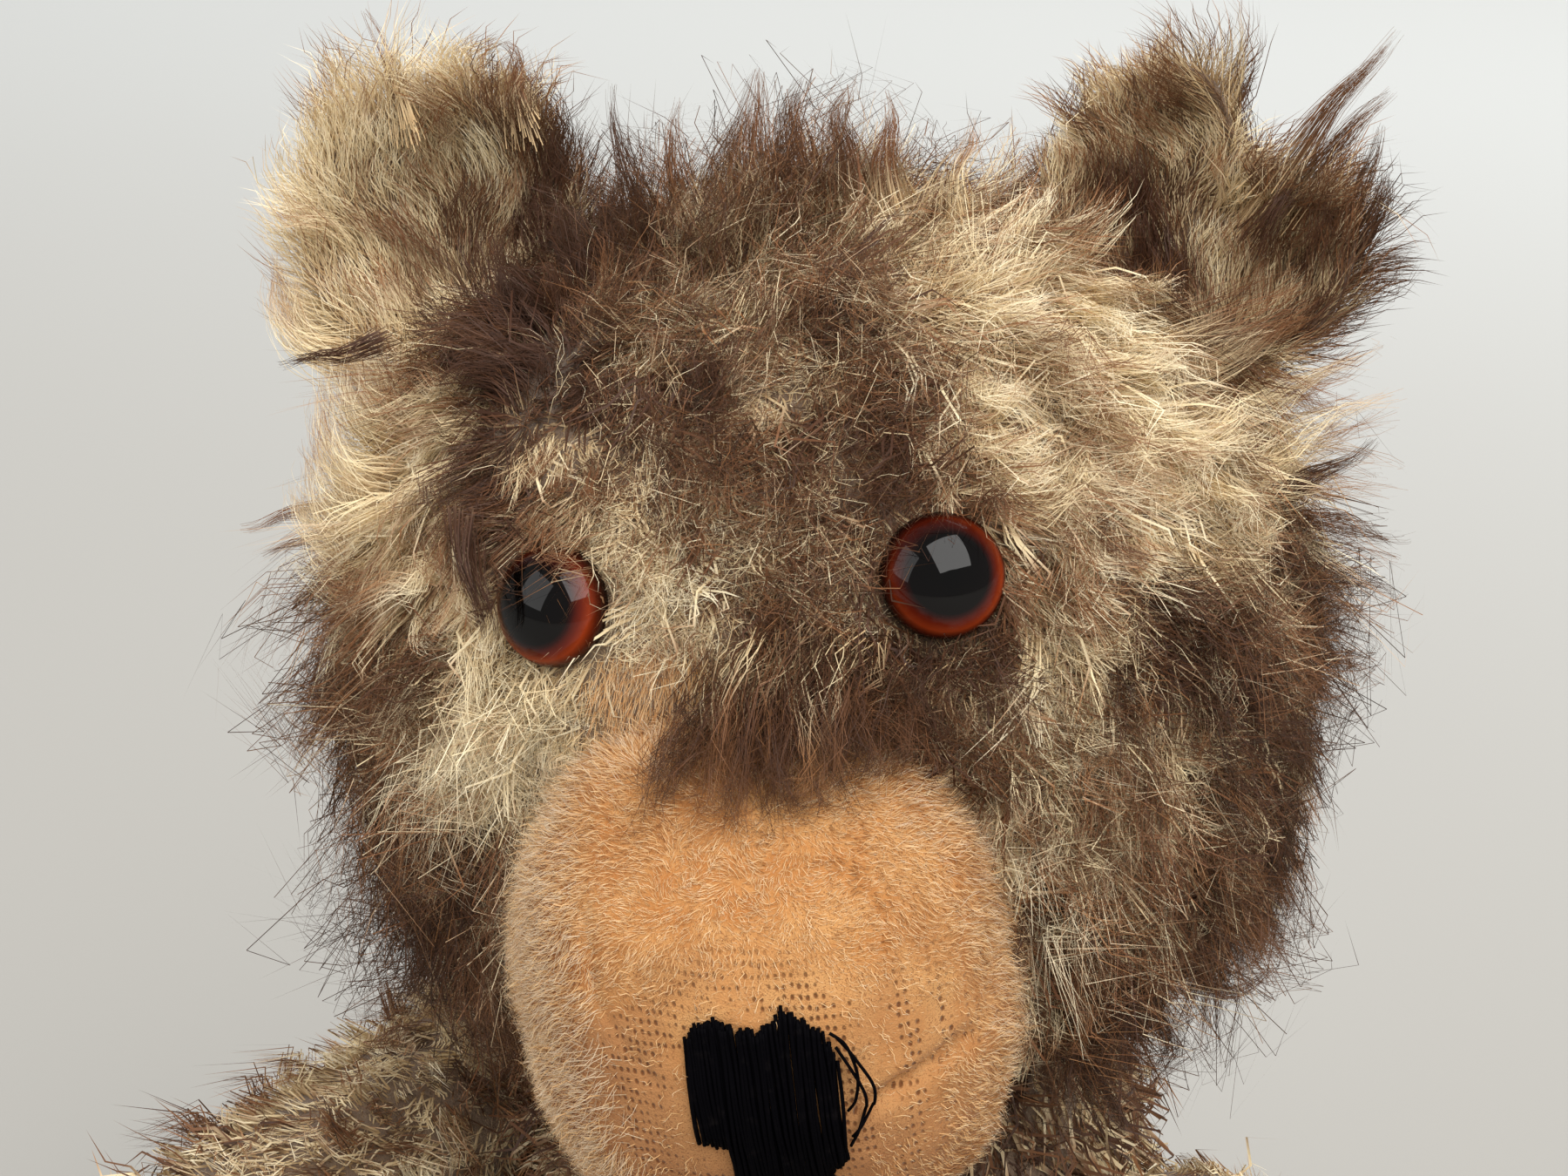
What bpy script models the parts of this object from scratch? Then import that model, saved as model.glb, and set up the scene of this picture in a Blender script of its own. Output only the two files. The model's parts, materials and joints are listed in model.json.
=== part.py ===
"""A small disc-jointed mohair bear, sitting with its legs forward, and everything sewn inside it.

Frame: +Z up, the bear faces -Y, its own left is +X. The origin is on the floor, under the middle of
its box. Every cover is a hollow skin, every skin is filled, and each limb and the head are held by a
pair of board discs on a cotter pin.
"""
import math

import bmesh
import bpy
from mathutils import Matrix, Vector

mm = 0.001
gap = 0.3 * mm          # between any two pieces that touch
cloth = 1.8 * mm        # woven backing with the dense foot of its pile
layer = cloth + 1.5 * gap    # from the outside of a cover to its filling
sides = {"left": 1, "right": -1}

# where things are
seat = Vector((1, 31.55, 0)) * mm              # the middle of the body on the floor
neck_height = 118 * mm
head_lean = math.radians(8.2)                   # the head has settled towards the bear's right
head_turn = math.radians(22)                    # and looks a little to the bear's left
neck_drop = 38 * mm                             # from the middle of the skull to the neck seam
shoulder = {"left": Vector((30.6, 5, 73)) * mm, "right": Vector((-33.4, 5, 83.5)) * mm}
hip = {"left": Vector((33.4, 1, 23)) * mm, "right": Vector((-35.4, 1, 23)) * mm}
shoulder_back, shoulder_up = math.radians(11), math.radians(6.5)    # how each seam plane faces
hip_back, hip_up = math.radians(9), math.radians(-7)
arm_drop = {"left": math.radians(8), "right": math.radians(10)}   # below level at rest
leg_drop = math.radians(0.3)

# the skull and the muzzle
skull = Vector((51, 43, 45)) * mm               # half width, half depth, half height
crown_power, jowl_power = 2.1, 3.0              # 2 is an ellipsoid, more is fuller
muzzle = Vector((23.8, 64.5, 27)) * mm          # half width, how far it reaches, half height
muzzle_power = 2.4
muzzle_aside = -2.5 * mm                        # it is sewn on a little to the bear's right
muzzle_seam_at = 31.5 * mm
# forward, how far its middle is below the skull's, share of the width, share of the height
muzzle_stations = [
    (18, 12, 0.85, 0.66), (29.5, 15.5, 0.95, 0.8), (35, 18.5, 0.99, 0.94), (42, 20.5, 1, 1),
]
eye_across, eye_up = 18.5 * mm, 17 * mm
eye_radius, eye_dome = 6 * mm, 4.4 * mm

# the ears are sewn on by hand: middle across and up, how far back, and the turn outwards
ear_cup, ear_thick = 6.5 * mm, 4 * mm
ears = {
    "left": {
        "middle": Vector((45, 4, 39)) * mm, "radius": 16.2 * mm, "face": math.radians(-14),
        "sag": 0.5,        # how far the middle of its rim has folded down, as a share of the radius
    },
    "right": {
        "middle": Vector((-35.5, 4, 47)) * mm, "radius": 15 * mm, "face": math.radians(12),
        "sag": 0.04,
    },
}

# the embroidery
nose_top, nose_low, nose_half = -14.6 * mm, -33 * mm, 7.2 * mm
nose_aside = 1 * mm
mouth_reach, mouth_width = 8.5 * mm, 0.6 * mm
nose_thick, mouth_thick = 1.6 * mm, 1.0 * mm

# the joints: a board disc and a washer inside each of the two covers, on one cotter pin
board = 3 * mm
washer_thick, washer_radius = 0.8 * mm, 5 * mm
wire = 0.7 * mm
pin_hole = 1.9 * mm
pin_way = pin_hole + 0.4 * mm
pin_room = 8 * mm       # how far a pin's eye or curled ends stand past its washer
pin_room_radius = 6.2 * mm
disc_radius = {"neck": 19 * mm, "arm": 11.5 * mm, "leg": 13.5 * mm}

far = 0.2               # larger than the whole bear

slump = -2.4 * mm       # the filling has settled towards the bear's right
body_stations = [  # height, half width, half depth, middle of the depth
    (0, 27, 23, 3.5), (3, 35, 30, 3), (12, 41, 34.5, 2.5), (28, 43.8, 37, 1.5),
    (46, 43.2, 37, 0), (64, 40, 35.5, 0), (82, 38.5, 34, 0), (96, 35, 31.5, 0),
    (108, 30.5, 29, 0), (118, 27, 27, 0), (130, 22, 23, 0),
]
# along the limb, offset to its upper side, half thickness, half height, middle of the thickness
arm_stations = [
    (-17, 0, 0, 0, 9), (-15.5, 0, 7, 7.5, 9), (-11.5, 0, 12.5, 12.5, 9), (-5, 0, 15.5, 15.6, 9),
    (4, 0, 16, 16.4, 9), (20, 0, 15.8, 16.2, 10.5), (40, 1, 15, 15.5, 12), (58, 3, 13.5, 14, 12.5),
    (72, 7, 13.5, 14.5, 12.5), (84, 12, 12.5, 13.5, 12.5), (92, 16, 8.5, 9.5, 12.5),
    (95.5, 18, 0, 0, 12.5),
]
leg_stations = [
    (-21.5, 0, 0, 0, 10), (-20, 0, 8.5, 9.5, 10), (-15, 0, 15.5, 16.5, 10.5),
    (-6, 0, 19.5, 20.5, 11), (8, 0, 20, 21, 11), (30, 0, 18.5, 19.5, 12.5),
    (55, 0, 16.5, 17.5, 14), (74, 1, 16, 17.5, 14.5), (86, 6, 17, 22.5, 15),
    (96, 9.5, 17.5, 26.5, 15), (104, 11, 17, 28, 15), (108.5, 11, 15.8, 26.8, 15),
    (109.5, 11, 14.5, 25.5, 15),
]


# ---------------------------------------------------------------- making and cutting solids

def clear_scene():
    for obj in list(bpy.data.objects):
        bpy.data.objects.remove(obj, do_unlink=True)


def material(name, colour, roughness=0.9, metallic=0.0):
    made = bpy.data.materials.new(name)
    made.use_nodes = True
    shader = made.node_tree.nodes["Principled BSDF"]
    shader.inputs["Base Color"].default_value = (*colour, 1)
    shader.inputs["Roughness"].default_value = roughness
    shader.inputs["Metallic"].default_value = metallic
    made.diffuse_color = (*colour, 1)
    return made


def as_object(name, bm):
    mesh = bpy.data.meshes.new(name)
    bmesh.ops.remove_doubles(bm, verts=bm.verts, dist=1e-6)
    bmesh.ops.recalc_face_normals(bm, faces=bm.faces)
    bm.to_mesh(mesh)
    bm.free()
    obj = bpy.data.objects.new(name, mesh)
    bpy.context.collection.objects.link(obj)
    return obj


def oval(centre, across, along, segments, power=2):
    """A row of points round an oval, squarer with more power, or one point where it has no size."""
    if min(across.length, along.length) < 1e-7:
        return [centre]
    row = []
    for k in range(segments):
        a = 2 * math.pi * k / segments
        x, y = math.cos(a), math.sin(a)
        grow = (abs(x) ** power + abs(y) ** power) ** (-1 / power)
        row.append(centre + (across * x + along * y) * grow)
    return row


def loft(name, rows):
    """A closed skin through rows of points; a row of one point closes an end."""
    bm = bmesh.new()
    rows = [[bm.verts.new(point) for point in row] for row in rows]
    segments = max(len(row) for row in rows)
    for low, high in zip(rows, rows[1:]):
        for k in range(segments):
            nxt = (k + 1) % segments
            corners = [low[k % len(low)], low[nxt % len(low)]]
            corners += [high[nxt % len(high)], high[k % len(high)]]
            bm.faces.new(list(dict.fromkeys(corners)))
    for row in (rows[0], rows[-1]):
        if len(row) > 1:
            bm.faces.new(row)
    return as_object(name, bm)


def rod(name, start, end, radius, segments=16):
    axis = (end - start).normalized()
    side = axis.orthogonal().normalized() if abs(axis.x) > 0.9 else Vector((1, 0, 0))
    side = (side - axis * side.dot(axis)).normalized()
    ring = (side * radius, axis.cross(side) * radius, segments)
    return loft(name, [oval(start, *ring), oval(end, *ring)])


def block(name, point, outward):
    """Everything on the outward side of a plane."""
    bm = bmesh.new()
    bmesh.ops.create_cube(bm, size=2 * far)
    turn = outward.to_track_quat("Z", "Y").to_matrix().to_4x4()
    place = Matrix.Translation(point) @ turn @ Matrix.Translation((0, 0, far))
    bmesh.ops.transform(bm, matrix=place, verts=bm.verts)
    return as_object(name, bm)


def prism(name, outline, aside):
    """An outline in the X-Z plane drawn out forwards from inside the muzzle."""
    start, reach = 40 * mm, 40 * mm
    bm = bmesh.new()
    face = bm.faces.new([bm.verts.new((x + aside, -start, z)) for x, z in outline])
    moved = bmesh.ops.extrude_face_region(bm, geom=[face])["geom"]
    corners = [item for item in moved if isinstance(item, bmesh.types.BMVert)]
    bmesh.ops.translate(bm, verts=corners, vec=(0, -reach, 0))
    return as_object(name, bm)


def sweep(name, points, flat_normal, radius, segments):
    """A round wire along a flat path."""
    flat_normal = flat_normal.normalized()
    rows = []
    for k, point in enumerate(points):
        before, after = points[max(k - 1, 0)], points[min(k + 1, len(points) - 1)]
        side = (after - before).cross(flat_normal).normalized()
        rows.append(oval(point, flat_normal * radius, side * radius, segments))
    return loft(name, rows)


def combine(obj, other, operation):
    """Cuts obj by other, joins it to other or keeps what both hold; other is used up."""
    step = obj.modifiers.new("step", "BOOLEAN")
    step.operation = operation
    step.solver = "EXACT"
    step.object = other
    bpy.context.view_layer.update()
    seen = obj.evaluated_get(bpy.context.evaluated_depsgraph_get())
    result = bpy.data.meshes.new_from_object(seen)
    obj.modifiers.clear()
    obj.data = result
    bpy.data.objects.remove(other, do_unlink=True)
    return obj


def cut(obj, *others):
    for other in others:
        combine(obj, other, "DIFFERENCE")
    return obj


def keep(obj, other):
    return combine(obj, other, "INTERSECT")


def piece(obj, name, finish, parent=None, angle=40):
    """Names a finished solid, gives it its material and hangs it on its pivot."""
    bm = bmesh.new()
    bm.from_mesh(obj.data)
    bmesh.ops.remove_doubles(bm, verts=bm.verts, dist=2e-6)
    bmesh.ops.dissolve_degenerate(bm, edges=bm.edges, dist=1e-6)
    bmesh.ops.triangulate(bm, faces=bm.faces)
    bm.to_mesh(obj.data)
    bm.free()
    obj.name = name
    obj.data.materials.clear()
    obj.data.materials.append(finish)
    obj.data.shade_smooth()
    obj.data.set_sharp_from_angle(angle=math.radians(angle))
    obj.parent = parent
    return obj


def pivot(name, place):
    """An empty whose X axis is the joint's axis, or its Z axis at the neck."""
    empty = bpy.data.objects.new(name, None)
    empty.empty_display_size = 0.02
    empty.matrix_world = place
    bpy.context.collection.objects.link(empty)
    return empty


# ---------------------------------------------------------------- seam planes and pivots

def seam_normal(side, back, up):
    """Which way the cloth faces where a limb lies against the body."""
    level = math.cos(up)
    return Vector((side * math.cos(back) * level, math.sin(back) * level, math.sin(up)))


def neck_normal():
    return Vector((-math.sin(head_lean), 0, math.cos(head_lean)))


def limb_place(point, outward, drop):
    """A limb's frame: X out of the body, Y down the limb."""
    down = Vector((0, -math.cos(drop), -math.sin(drop)))
    down = (down - outward * down.dot(outward)).normalized()
    turn = Matrix((outward, down, outward.cross(down))).transposed()
    return Matrix.Translation(point + seat) @ turn.to_4x4()


def neck_place():
    """The neck seam's frame: Z up through the head, -Y the way the head looks."""
    lean = Matrix.Rotation(-head_lean, 4, "Y")
    turn = Matrix.Rotation(head_turn, 4, "Z")
    return Matrix.Translation(seat + Vector((0, 0, neck_height))) @ lean @ turn


# ---------------------------------------------------------------- what joins the pieces

def disc_stack(in_body):
    """Distances along the pin, from the seam, of a disc's and a washer's two faces."""
    near = cloth + gap if in_body else cloth + 2 * gap
    washer_near = near + board + gap
    return near, near + board, washer_near, washer_near + washer_thick


def ring_plate(name, axis, start, end, radius, segments):
    plate = rod(name, axis * start, axis * end, radius, segments)
    return cut(plate, rod("hole", axis * (start - mm), axis * (end + mm), pin_hole, 10))


def cotter_pin(name, head_at, tail_at, finish, parent, axis):
    """One wire folded at an eye: two legs side by side, curled apart at the far end."""
    across = axis.orthogonal().normalized()
    leg, eye, curl = wire + 0.05 * mm, 2.5 * mm, 2.2 * mm
    half = [(leg, head_at - 1.2 * mm), (leg, tail_at)]   # one leg, from the eye down and out
    for degrees in (35, 75, 115, 165):
        a = math.radians(degrees)
        half.append((leg + curl - curl * math.cos(a), tail_at - curl * math.sin(a)))
    round_eye = [math.radians(degrees) for degrees in (-135, -90, -45, 0, 45, 90, 135)]
    line = [(-x, y) for x, y in reversed(half)]
    line += [(eye * math.sin(a), head_at + eye + eye * math.cos(a)) for a in round_eye]
    line += half
    points = [across * x + axis * y for x, y in line]
    return piece(sweep("wire", points, across.cross(axis), wire, 6), name, finish, parent, 60)


def joint_hardware(name, group, finishes, inner_parent, outer_parent, axis):
    """A disc and a washer on both sides of a seam at 0, and the pin; axis points to the limb."""
    names = {1: ("disc", "washer"), -1: ("body_disc", "body_washer")}
    if group == "neck":
        names = {1: ("disc_upper", "washer_upper"), -1: ("disc_lower", "washer_lower")}
    for sign, parent in ((1, outer_parent), (-1, inner_parent)):
        start, end, washer_start, washer_end = disc_stack(sign < 0)
        way = axis * sign
        disc = ring_plate("disc", way, start, end, disc_radius[group], 20)
        washer = ring_plate("washer", way, washer_start, washer_end, washer_radius, 12)
        piece(disc, f"{name}_{names[sign][0]}", finishes["board"], parent)
        piece(washer, f"{name}_{names[sign][1]}", finishes["steel"], parent)
    eye_at = disc_stack(False)[3] + 1.5 * mm
    curl_at = -disc_stack(True)[3] - wire - gap
    cotter_pin(f"{name}_cotter_pin", eye_at, curl_at, finishes["steel"], outer_parent, axis)


def joint_pocket(group, axis, in_body):
    """The room in a filling for its disc, its washer and the end of the pin."""
    start, end, _, washer_end = disc_stack(in_body)
    past = axis * (washer_end + pin_room)
    return (
        rod("pocket", axis * (start - 2 * mm), axis * (end + gap), disc_radius[group] + 3 * gap),
        rod("pocket", axis * end, past, pin_room_radius, 10),
    )


# ---------------------------------------------------------------- soft forms, each with an inset

def skull_size(height):
    """How wide the skull is at a height from -1 to 1, as a share of its full width."""
    power = crown_power if height > 0 else jowl_power
    return max(0.0, 1 - abs(height) ** power) ** (1 / power)


def skull_rows(inset, count, segments):
    rows = []
    for k in range(count + 1):
        height = -math.cos(math.pi * k / count)
        size = skull_size(height) if 0 < k < count else 0
        across = Vector(((skull.x - inset) * size, 0, 0))
        along = Vector((0, (skull.y - inset) * size, 0))
        rows.append(oval(Vector((0, 0, height * (skull.z - inset))), across, along, segments))
    return rows


def skull_point(x, z):
    """The point of the cloth in front of (x, z), and the way it faces."""
    row = skull_size(z / skull.z)
    y = -skull.y * math.sqrt(max(row ** 2 - (x / skull.x) ** 2, 0))
    fall = (z / skull.z) ** (crown_power - 1) * row ** (2 - crown_power) / skull.z
    slope = Vector((x / skull.x ** 2, y / skull.y ** 2, fall))
    return Vector((x, y, z)), slope.normalized()


def muzzle_rows(inset, segments):
    """From inside the skull to the front, where it rounds over like a thimble."""
    lines = [(forward * mm, drop * mm, wide, tall) for forward, drop, wide, tall in muzzle_stations]
    bend, drop = lines[-1][:2]
    reach = muzzle.y - inset - bend
    for degrees in (18, 35, 50, 64, 77, 90):
        a = math.radians(degrees)
        size = math.cos(a) ** 0.85 if degrees < 90 else 0
        lines.append((bend + reach * math.sin(a), drop + mm * math.sin(a), size, size))
    rows = []
    for forward, drop, wide, tall in lines:
        across = Vector(((muzzle.x - inset) * wide, 0, 0))
        along = Vector((0, 0, (muzzle.z - inset) * tall))
        rows.append(oval(Vector((muzzle_aside, -forward, -drop)), across, along, segments, muzzle_power))
    return rows


def muzzle_seam(extra):
    """The oval that the muzzle's own cloth is let into, just outside its root."""
    seam = rod("seam", Vector((0, 0, 0)), Vector((0, -far, 0)), 1, 28)
    _, drop, _, _ = muzzle_stations[-1]
    middle = Matrix.Translation((muzzle_aside, -muzzle_seam_at + extra, -drop * mm))
    edge = 1.3 * mm + extra
    seam.data.transform(middle @ Matrix.Diagonal((muzzle.x + edge, 1, muzzle.z + edge, 1)))
    return seam


def head_solid(inset, fine=True):
    """Skull and muzzle in one, flat where the neck is gathered; the middle of the skull is 0."""
    head = loft("head", skull_rows(inset, 13 if fine else 9, 24 if fine else 16))
    cut(head, block("neck", Vector((0, 0, -neck_drop + inset)), Vector((0, 0, -1))))
    return combine(head, loft("muzzle", muzzle_rows(inset, 20 if fine else 14)), "UNION")


def body_solid(inset, fine=True):
    """A pear with a flat seat and flat places at the neck, the shoulders and the hips."""
    rows = []
    for height, width, depth, middle in body_stations:
        z = height * mm + inset * max(0, 1 - height / 28)     # the seat's wall is as thick
        shift = slump * math.sin(math.pi * min(z / neck_height, 1)) ** 2
        across = Vector((width * mm - inset, 0, 0))
        along = Vector((0, depth * mm - inset, 0))
        rows.append(oval(Vector((shift, middle * mm, z)), across, along, 24 if fine else 16))
    body = loft("body", rows)
    for point, normal, _ in body_seams():
        cut(body, block("side", point - normal * inset, normal))
    return body


def body_seams():
    """Where each moving piece lies against the body: a point, the way out, and the kind."""
    seams = [(Vector((0, 0, neck_height)), neck_normal(), "neck")]
    for name, side in sides.items():
        seams.append((shoulder[name], seam_normal(side, shoulder_back, shoulder_up), "arm"))
        seams.append((hip[name], seam_normal(side, hip_back, hip_up), "leg"))
    return seams


def limb_solid(stations, side, inset, fine=True):
    """An arm or a leg in its own frame, flat where it lies against the body."""
    first, last = stations[0][0] * mm, stations[-1][0] * mm
    middle_along = (first + last) / 2
    shorter = 1 - 2 * inset / (last - first)
    rows = []
    for along, rise, thick, high, middle in stations:
        y = middle_along + (along * mm - middle_along) * shorter
        across, tall = max(thick * mm - inset, 0), max(high * mm - inset, 0)
        centre = Vector((middle * mm, y, -side * rise * mm))
        rows.append(oval(centre, Vector((across, 0, 0)), Vector((0, 0, tall)), 18 if fine else 12))
    limb = loft("limb", rows)
    return cut(limb, block("inner", Vector((gap + inset, 0, 0)), Vector((-1, 0, 0))))


# ---------------------------------------------------------------- the head

def make_head(finishes, head_root):
    """Everything that turns with the head. The skull's middle stands neck_drop above the seam."""
    lift = pivot("skull_middle", Matrix.Identity(4))
    lift.parent = head_root
    lift.location = Vector((0, 0, neck_drop + gap))
    floor = Vector((0, 0, -neck_drop))
    rise = Vector((0, 0, 9 * mm))
    eyes = {name: eye_place(side) for name, side in sides.items()}
    cover = cut(head_solid(0), head_solid(cloth, False))
    cut(cover, muzzle_seam(gap), rod("pin", floor - rise, floor + rise, pin_way, 12))
    cut(cover, *[wire_way(place, 8 * mm) for place in eyes.values()])
    piece(cover, "head_cover", finishes["mohair"], lift)
    front = keep(cut(head_solid(0), head_solid(cloth, False)), muzzle_seam(0))
    piece(front, "muzzle_cover", finishes["short_pile"], lift)
    filling = head_solid(layer, False)
    for pocket in joint_pocket("neck", Vector((0, 0, 1)), False):
        pocket.data.transform(Matrix.Translation(floor))
        cut(filling, pocket)
    cut(filling, *[wire_way(place, 11 * mm) for place in eyes.values()])
    piece(filling, "head_stuffing", finishes["wood_wool"], lift)
    for name, place in eyes.items():
        make_eye(name, place, finishes, lift)
        make_ear(name, finishes, lift)
    make_stitching(finishes, lift)


def eye_place(side):
    """On the cloth, with Z straight out of the face."""
    point, outward = skull_point(side * eye_across, eye_up)
    turn = outward.to_track_quat("Z", "Y").to_matrix().to_4x4()
    return Matrix.Translation(point) @ turn


def wire_way(place, depth):
    way = rod("way", Vector((0, 0, 2 * mm)), Vector((0, 0, -depth)), 2.6 * mm, 12)
    way.data.transform(place)
    return way


def make_eye(name, place, finishes, parent):
    """A blown glass dome, and behind it a wire loop that goes through the cloth."""
    rim = gap + 0.5 * mm
    heights = [(gap, 0.93), (rim, 1.0)]
    for degrees in (22, 42, 60, 76, 90):
        a = math.radians(degrees)
        heights.append((rim + eye_dome * math.sin(a), math.cos(a) if degrees < 90 else 0))
    rows = []
    for z, size in heights:
        across = Vector((eye_radius * size, 0, 0))
        rows.append(oval(Vector((0, 0, z)), across, Vector((0, across.x, 0)), 16))
    dome = loft("eye", rows)
    dome.data.transform(place)
    piece(dome, f"eye_{name}", finishes["glass"], parent)
    reach, half = 7 * mm, 1.4 * mm
    line = [Vector((-half, 0, 0)), Vector((-half, 0, half - reach))]
    for degrees in (45, 90, 135):
        a = math.radians(degrees)
        line.append(Vector((-half * math.cos(a), 0, half - reach - half * math.sin(a))))
    line += [Vector((half, 0, half - reach)), Vector((half, 0, 0))]
    loop = sweep("loop", line, Vector((0, 1, 0)), 0.45 * mm, 6)
    loop.data.transform(place)
    piece(loop, f"eye_wire_{name}", finishes["steel"], parent, 60)


def make_ear(name, finishes, parent):
    """A cupped round of doubled cloth, sewn down along the skull; Y is up the ear."""
    middle = ears[name]["middle"]
    profile = [(0, 1), (0.45, 1), (0.78, 1), (0.95, 0.75), (1, 0)]
    profile += [(size, -face) for size, face in reversed(profile[:-1])]
    rows = []
    for size, face in profile:
        depth = Vector((0, 0, ear_cup * (size ** 2 - 0.35) + face * ear_thick / 2))
        count = 24 if size else 1
        rows.append([depth + ear_edge(name, 2 * math.pi * k / count) * size for k in range(count)])
    cup = loft("ear", rows)
    front = Vector((0, -1, 0))
    out = Vector((middle.x, 0, middle.z)).normalized()
    turn = Matrix((out.cross(front), out, front)).transposed().to_4x4()
    twist = Matrix.Rotation(ears[name]["face"], 4, "Y")
    cup.data.transform(Matrix.Translation(middle) @ turn @ twist)
    cut(cup, head_solid(-gap))
    piece(cup, f"ear_{name}", finishes["mohair"], parent)


def ear_edge(name, angle):
    """The rim of an ear: a round whose middle has folded down between two horns."""
    up = math.sin(angle)
    folded = ears[name]["sag"] * max(up, 0) ** 6
    return Vector((math.cos(angle), up * (1 - folded), 0)) * ears[name]["radius"]


def make_stitching(finishes, parent):
    """The nose and the mouth: threads laid side by side on the front of the muzzle."""
    shoulder_low, narrow, peak = nose_low + 4 * mm, 3.5 * mm, nose_top + 1.2 * mm
    left_half = [(narrow, peak), (nose_half, nose_top), (nose_half, shoulder_low), (narrow, nose_low)]
    nose = prism("nose", left_half + [(-x, z) for x, z in reversed(left_half)], nose_aside)
    keep(nose, head_solid(-gap - nose_thick))
    cut(nose, head_solid(-gap))
    piece(nose, "nose_stitching", finishes["thread"], parent)
    fork, low = nose_low - 3.2 * mm, nose_low - 5.6 * mm
    left_half = [
        (mouth_width, nose_low - gap), (mouth_width, fork + mouth_width),
        (mouth_reach, low + mouth_width), (mouth_reach, low - mouth_width),
    ]
    right_half = [(-x, z) for x, z in reversed(left_half)]
    mouth = prism("mouth", left_half + [(0, fork - mouth_width)] + right_half, nose_aside)
    keep(mouth, head_solid(-gap - mouth_thick))
    cut(mouth, head_solid(-gap))
    piece(mouth, "mouth_stitching", finishes["thread"], parent)


# ---------------------------------------------------------------- the body and the limbs

def make_body(finishes, root):
    cover = cut(body_solid(0), body_solid(cloth, False))
    filling = body_solid(layer, False)
    reach = 6 * mm
    for point, normal, group in body_seams():
        cut(cover, rod("way", point - normal * reach, point + normal * reach, pin_way, 12))
        turn = normal.to_track_quat("Z", "Y").to_matrix().to_4x4()
        for pocket in joint_pocket(group, Vector((0, 0, -1)), True):
            pocket.data.transform(Matrix.Translation(point) @ turn)
            cut(filling, pocket)
    piece(cover, "body_cover", finishes["mohair"], root)
    piece(filling, "body_stuffing", finishes["wood_wool"], root)


def make_limb(name, kind, side, stations, pad_shape, finishes, place):
    limb = pivot(f"{name}_pivot", place)
    out = Vector((1, 0, 0))
    cover = cut(limb_solid(stations, side, 0), limb_solid(stations, side, cloth, False))
    cut(cover, rod("way", out * -2 * mm, out * 7 * mm, pin_way, 12), pad_shape(side, gap))
    piece(cover, f"{name}_cover", finishes["mohair"], limb)
    pad = cut(limb_solid(stations, side, 0), limb_solid(stations, side, cloth, False))
    piece(keep(pad, pad_shape(side, 0)), f"{name}_pad", finishes["short_pile"], limb)
    filling = limb_solid(stations, side, layer, False)
    cut(filling, *joint_pocket(kind, out, False))
    piece(filling, f"{name}_stuffing", finishes["wood_wool"], limb)
    joint_hardware(name, kind, finishes, limb, limb, out)


def paw_pad(side, extra):
    """An oval through the inner face of the paw."""
    start, end = Vector((-12 * mm, 0, 0)), Vector((10 * mm, 0, 0))
    shape = rod("pad", start, end, 8.6 * mm + extra, 24)
    middle = Matrix.Translation((0, 76 * mm, -side * 9 * mm))
    turn = Matrix.Rotation(-side * math.radians(24), 4, "X")
    shape.data.transform(middle @ turn @ Matrix.Diagonal((1, 1.45, 1, 1)))
    return shape


def sole_pad(side, extra):
    """An oval through the flat sole of the foot."""
    shape = rod("pad", Vector((0, 100 * mm, 0)), Vector((0, 115 * mm, 0)), 1, 24)
    middle = Matrix.Translation((15 * mm, 0, -side * 11 * mm))
    shape.data.transform(middle @ Matrix.Diagonal((12.6 * mm + extra, 1, 23.4 * mm + extra, 1)))
    return shape


def build():
    clear_scene()
    finishes = {
        "mohair": material("brown_tipped_mohair", (0.50, 0.40, 0.27)),
        "short_pile": material("apricot_short_pile", (0.72, 0.42, 0.19)),
        "wood_wool": material("wood_wool_filling", (0.66, 0.52, 0.31)),
        "board": material("pressed_board", (0.31, 0.20, 0.11), 0.8),
        "steel": material("dull_steel", (0.45, 0.44, 0.42), 0.45, 1.0),
        "glass": material("amber_glass", (0.32, 0.05, 0.01), 0.06),
        "thread": material("black_thread", (0.012, 0.011, 0.012), 0.7),
    }
    root = pivot("bear", Matrix.Translation(seat))
    make_body(finishes, root)
    neck = pivot("neck_pivot", neck_place())
    make_head(finishes, neck)
    joint_hardware("neck", "neck", finishes, neck, neck, Vector((0, 0, 1)))
    for name, side in sides.items():
        place = limb_place(shoulder[name], seam_normal(side, shoulder_back, shoulder_up), arm_drop[name])
        make_limb(f"arm_{name}", "arm", side, arm_stations, paw_pad, finishes, place)
        place = limb_place(hip[name], seam_normal(side, hip_back, hip_up), leg_drop)
        make_limb(f"leg_{name}", "leg", side, leg_stations, sole_pad, finishes, place)


build()
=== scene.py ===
import json
import math

import bmesh
import bpy
import numpy as np
from mathutils import Matrix, Vector, noise
from mathutils.bvhtree import BVHTree


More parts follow.
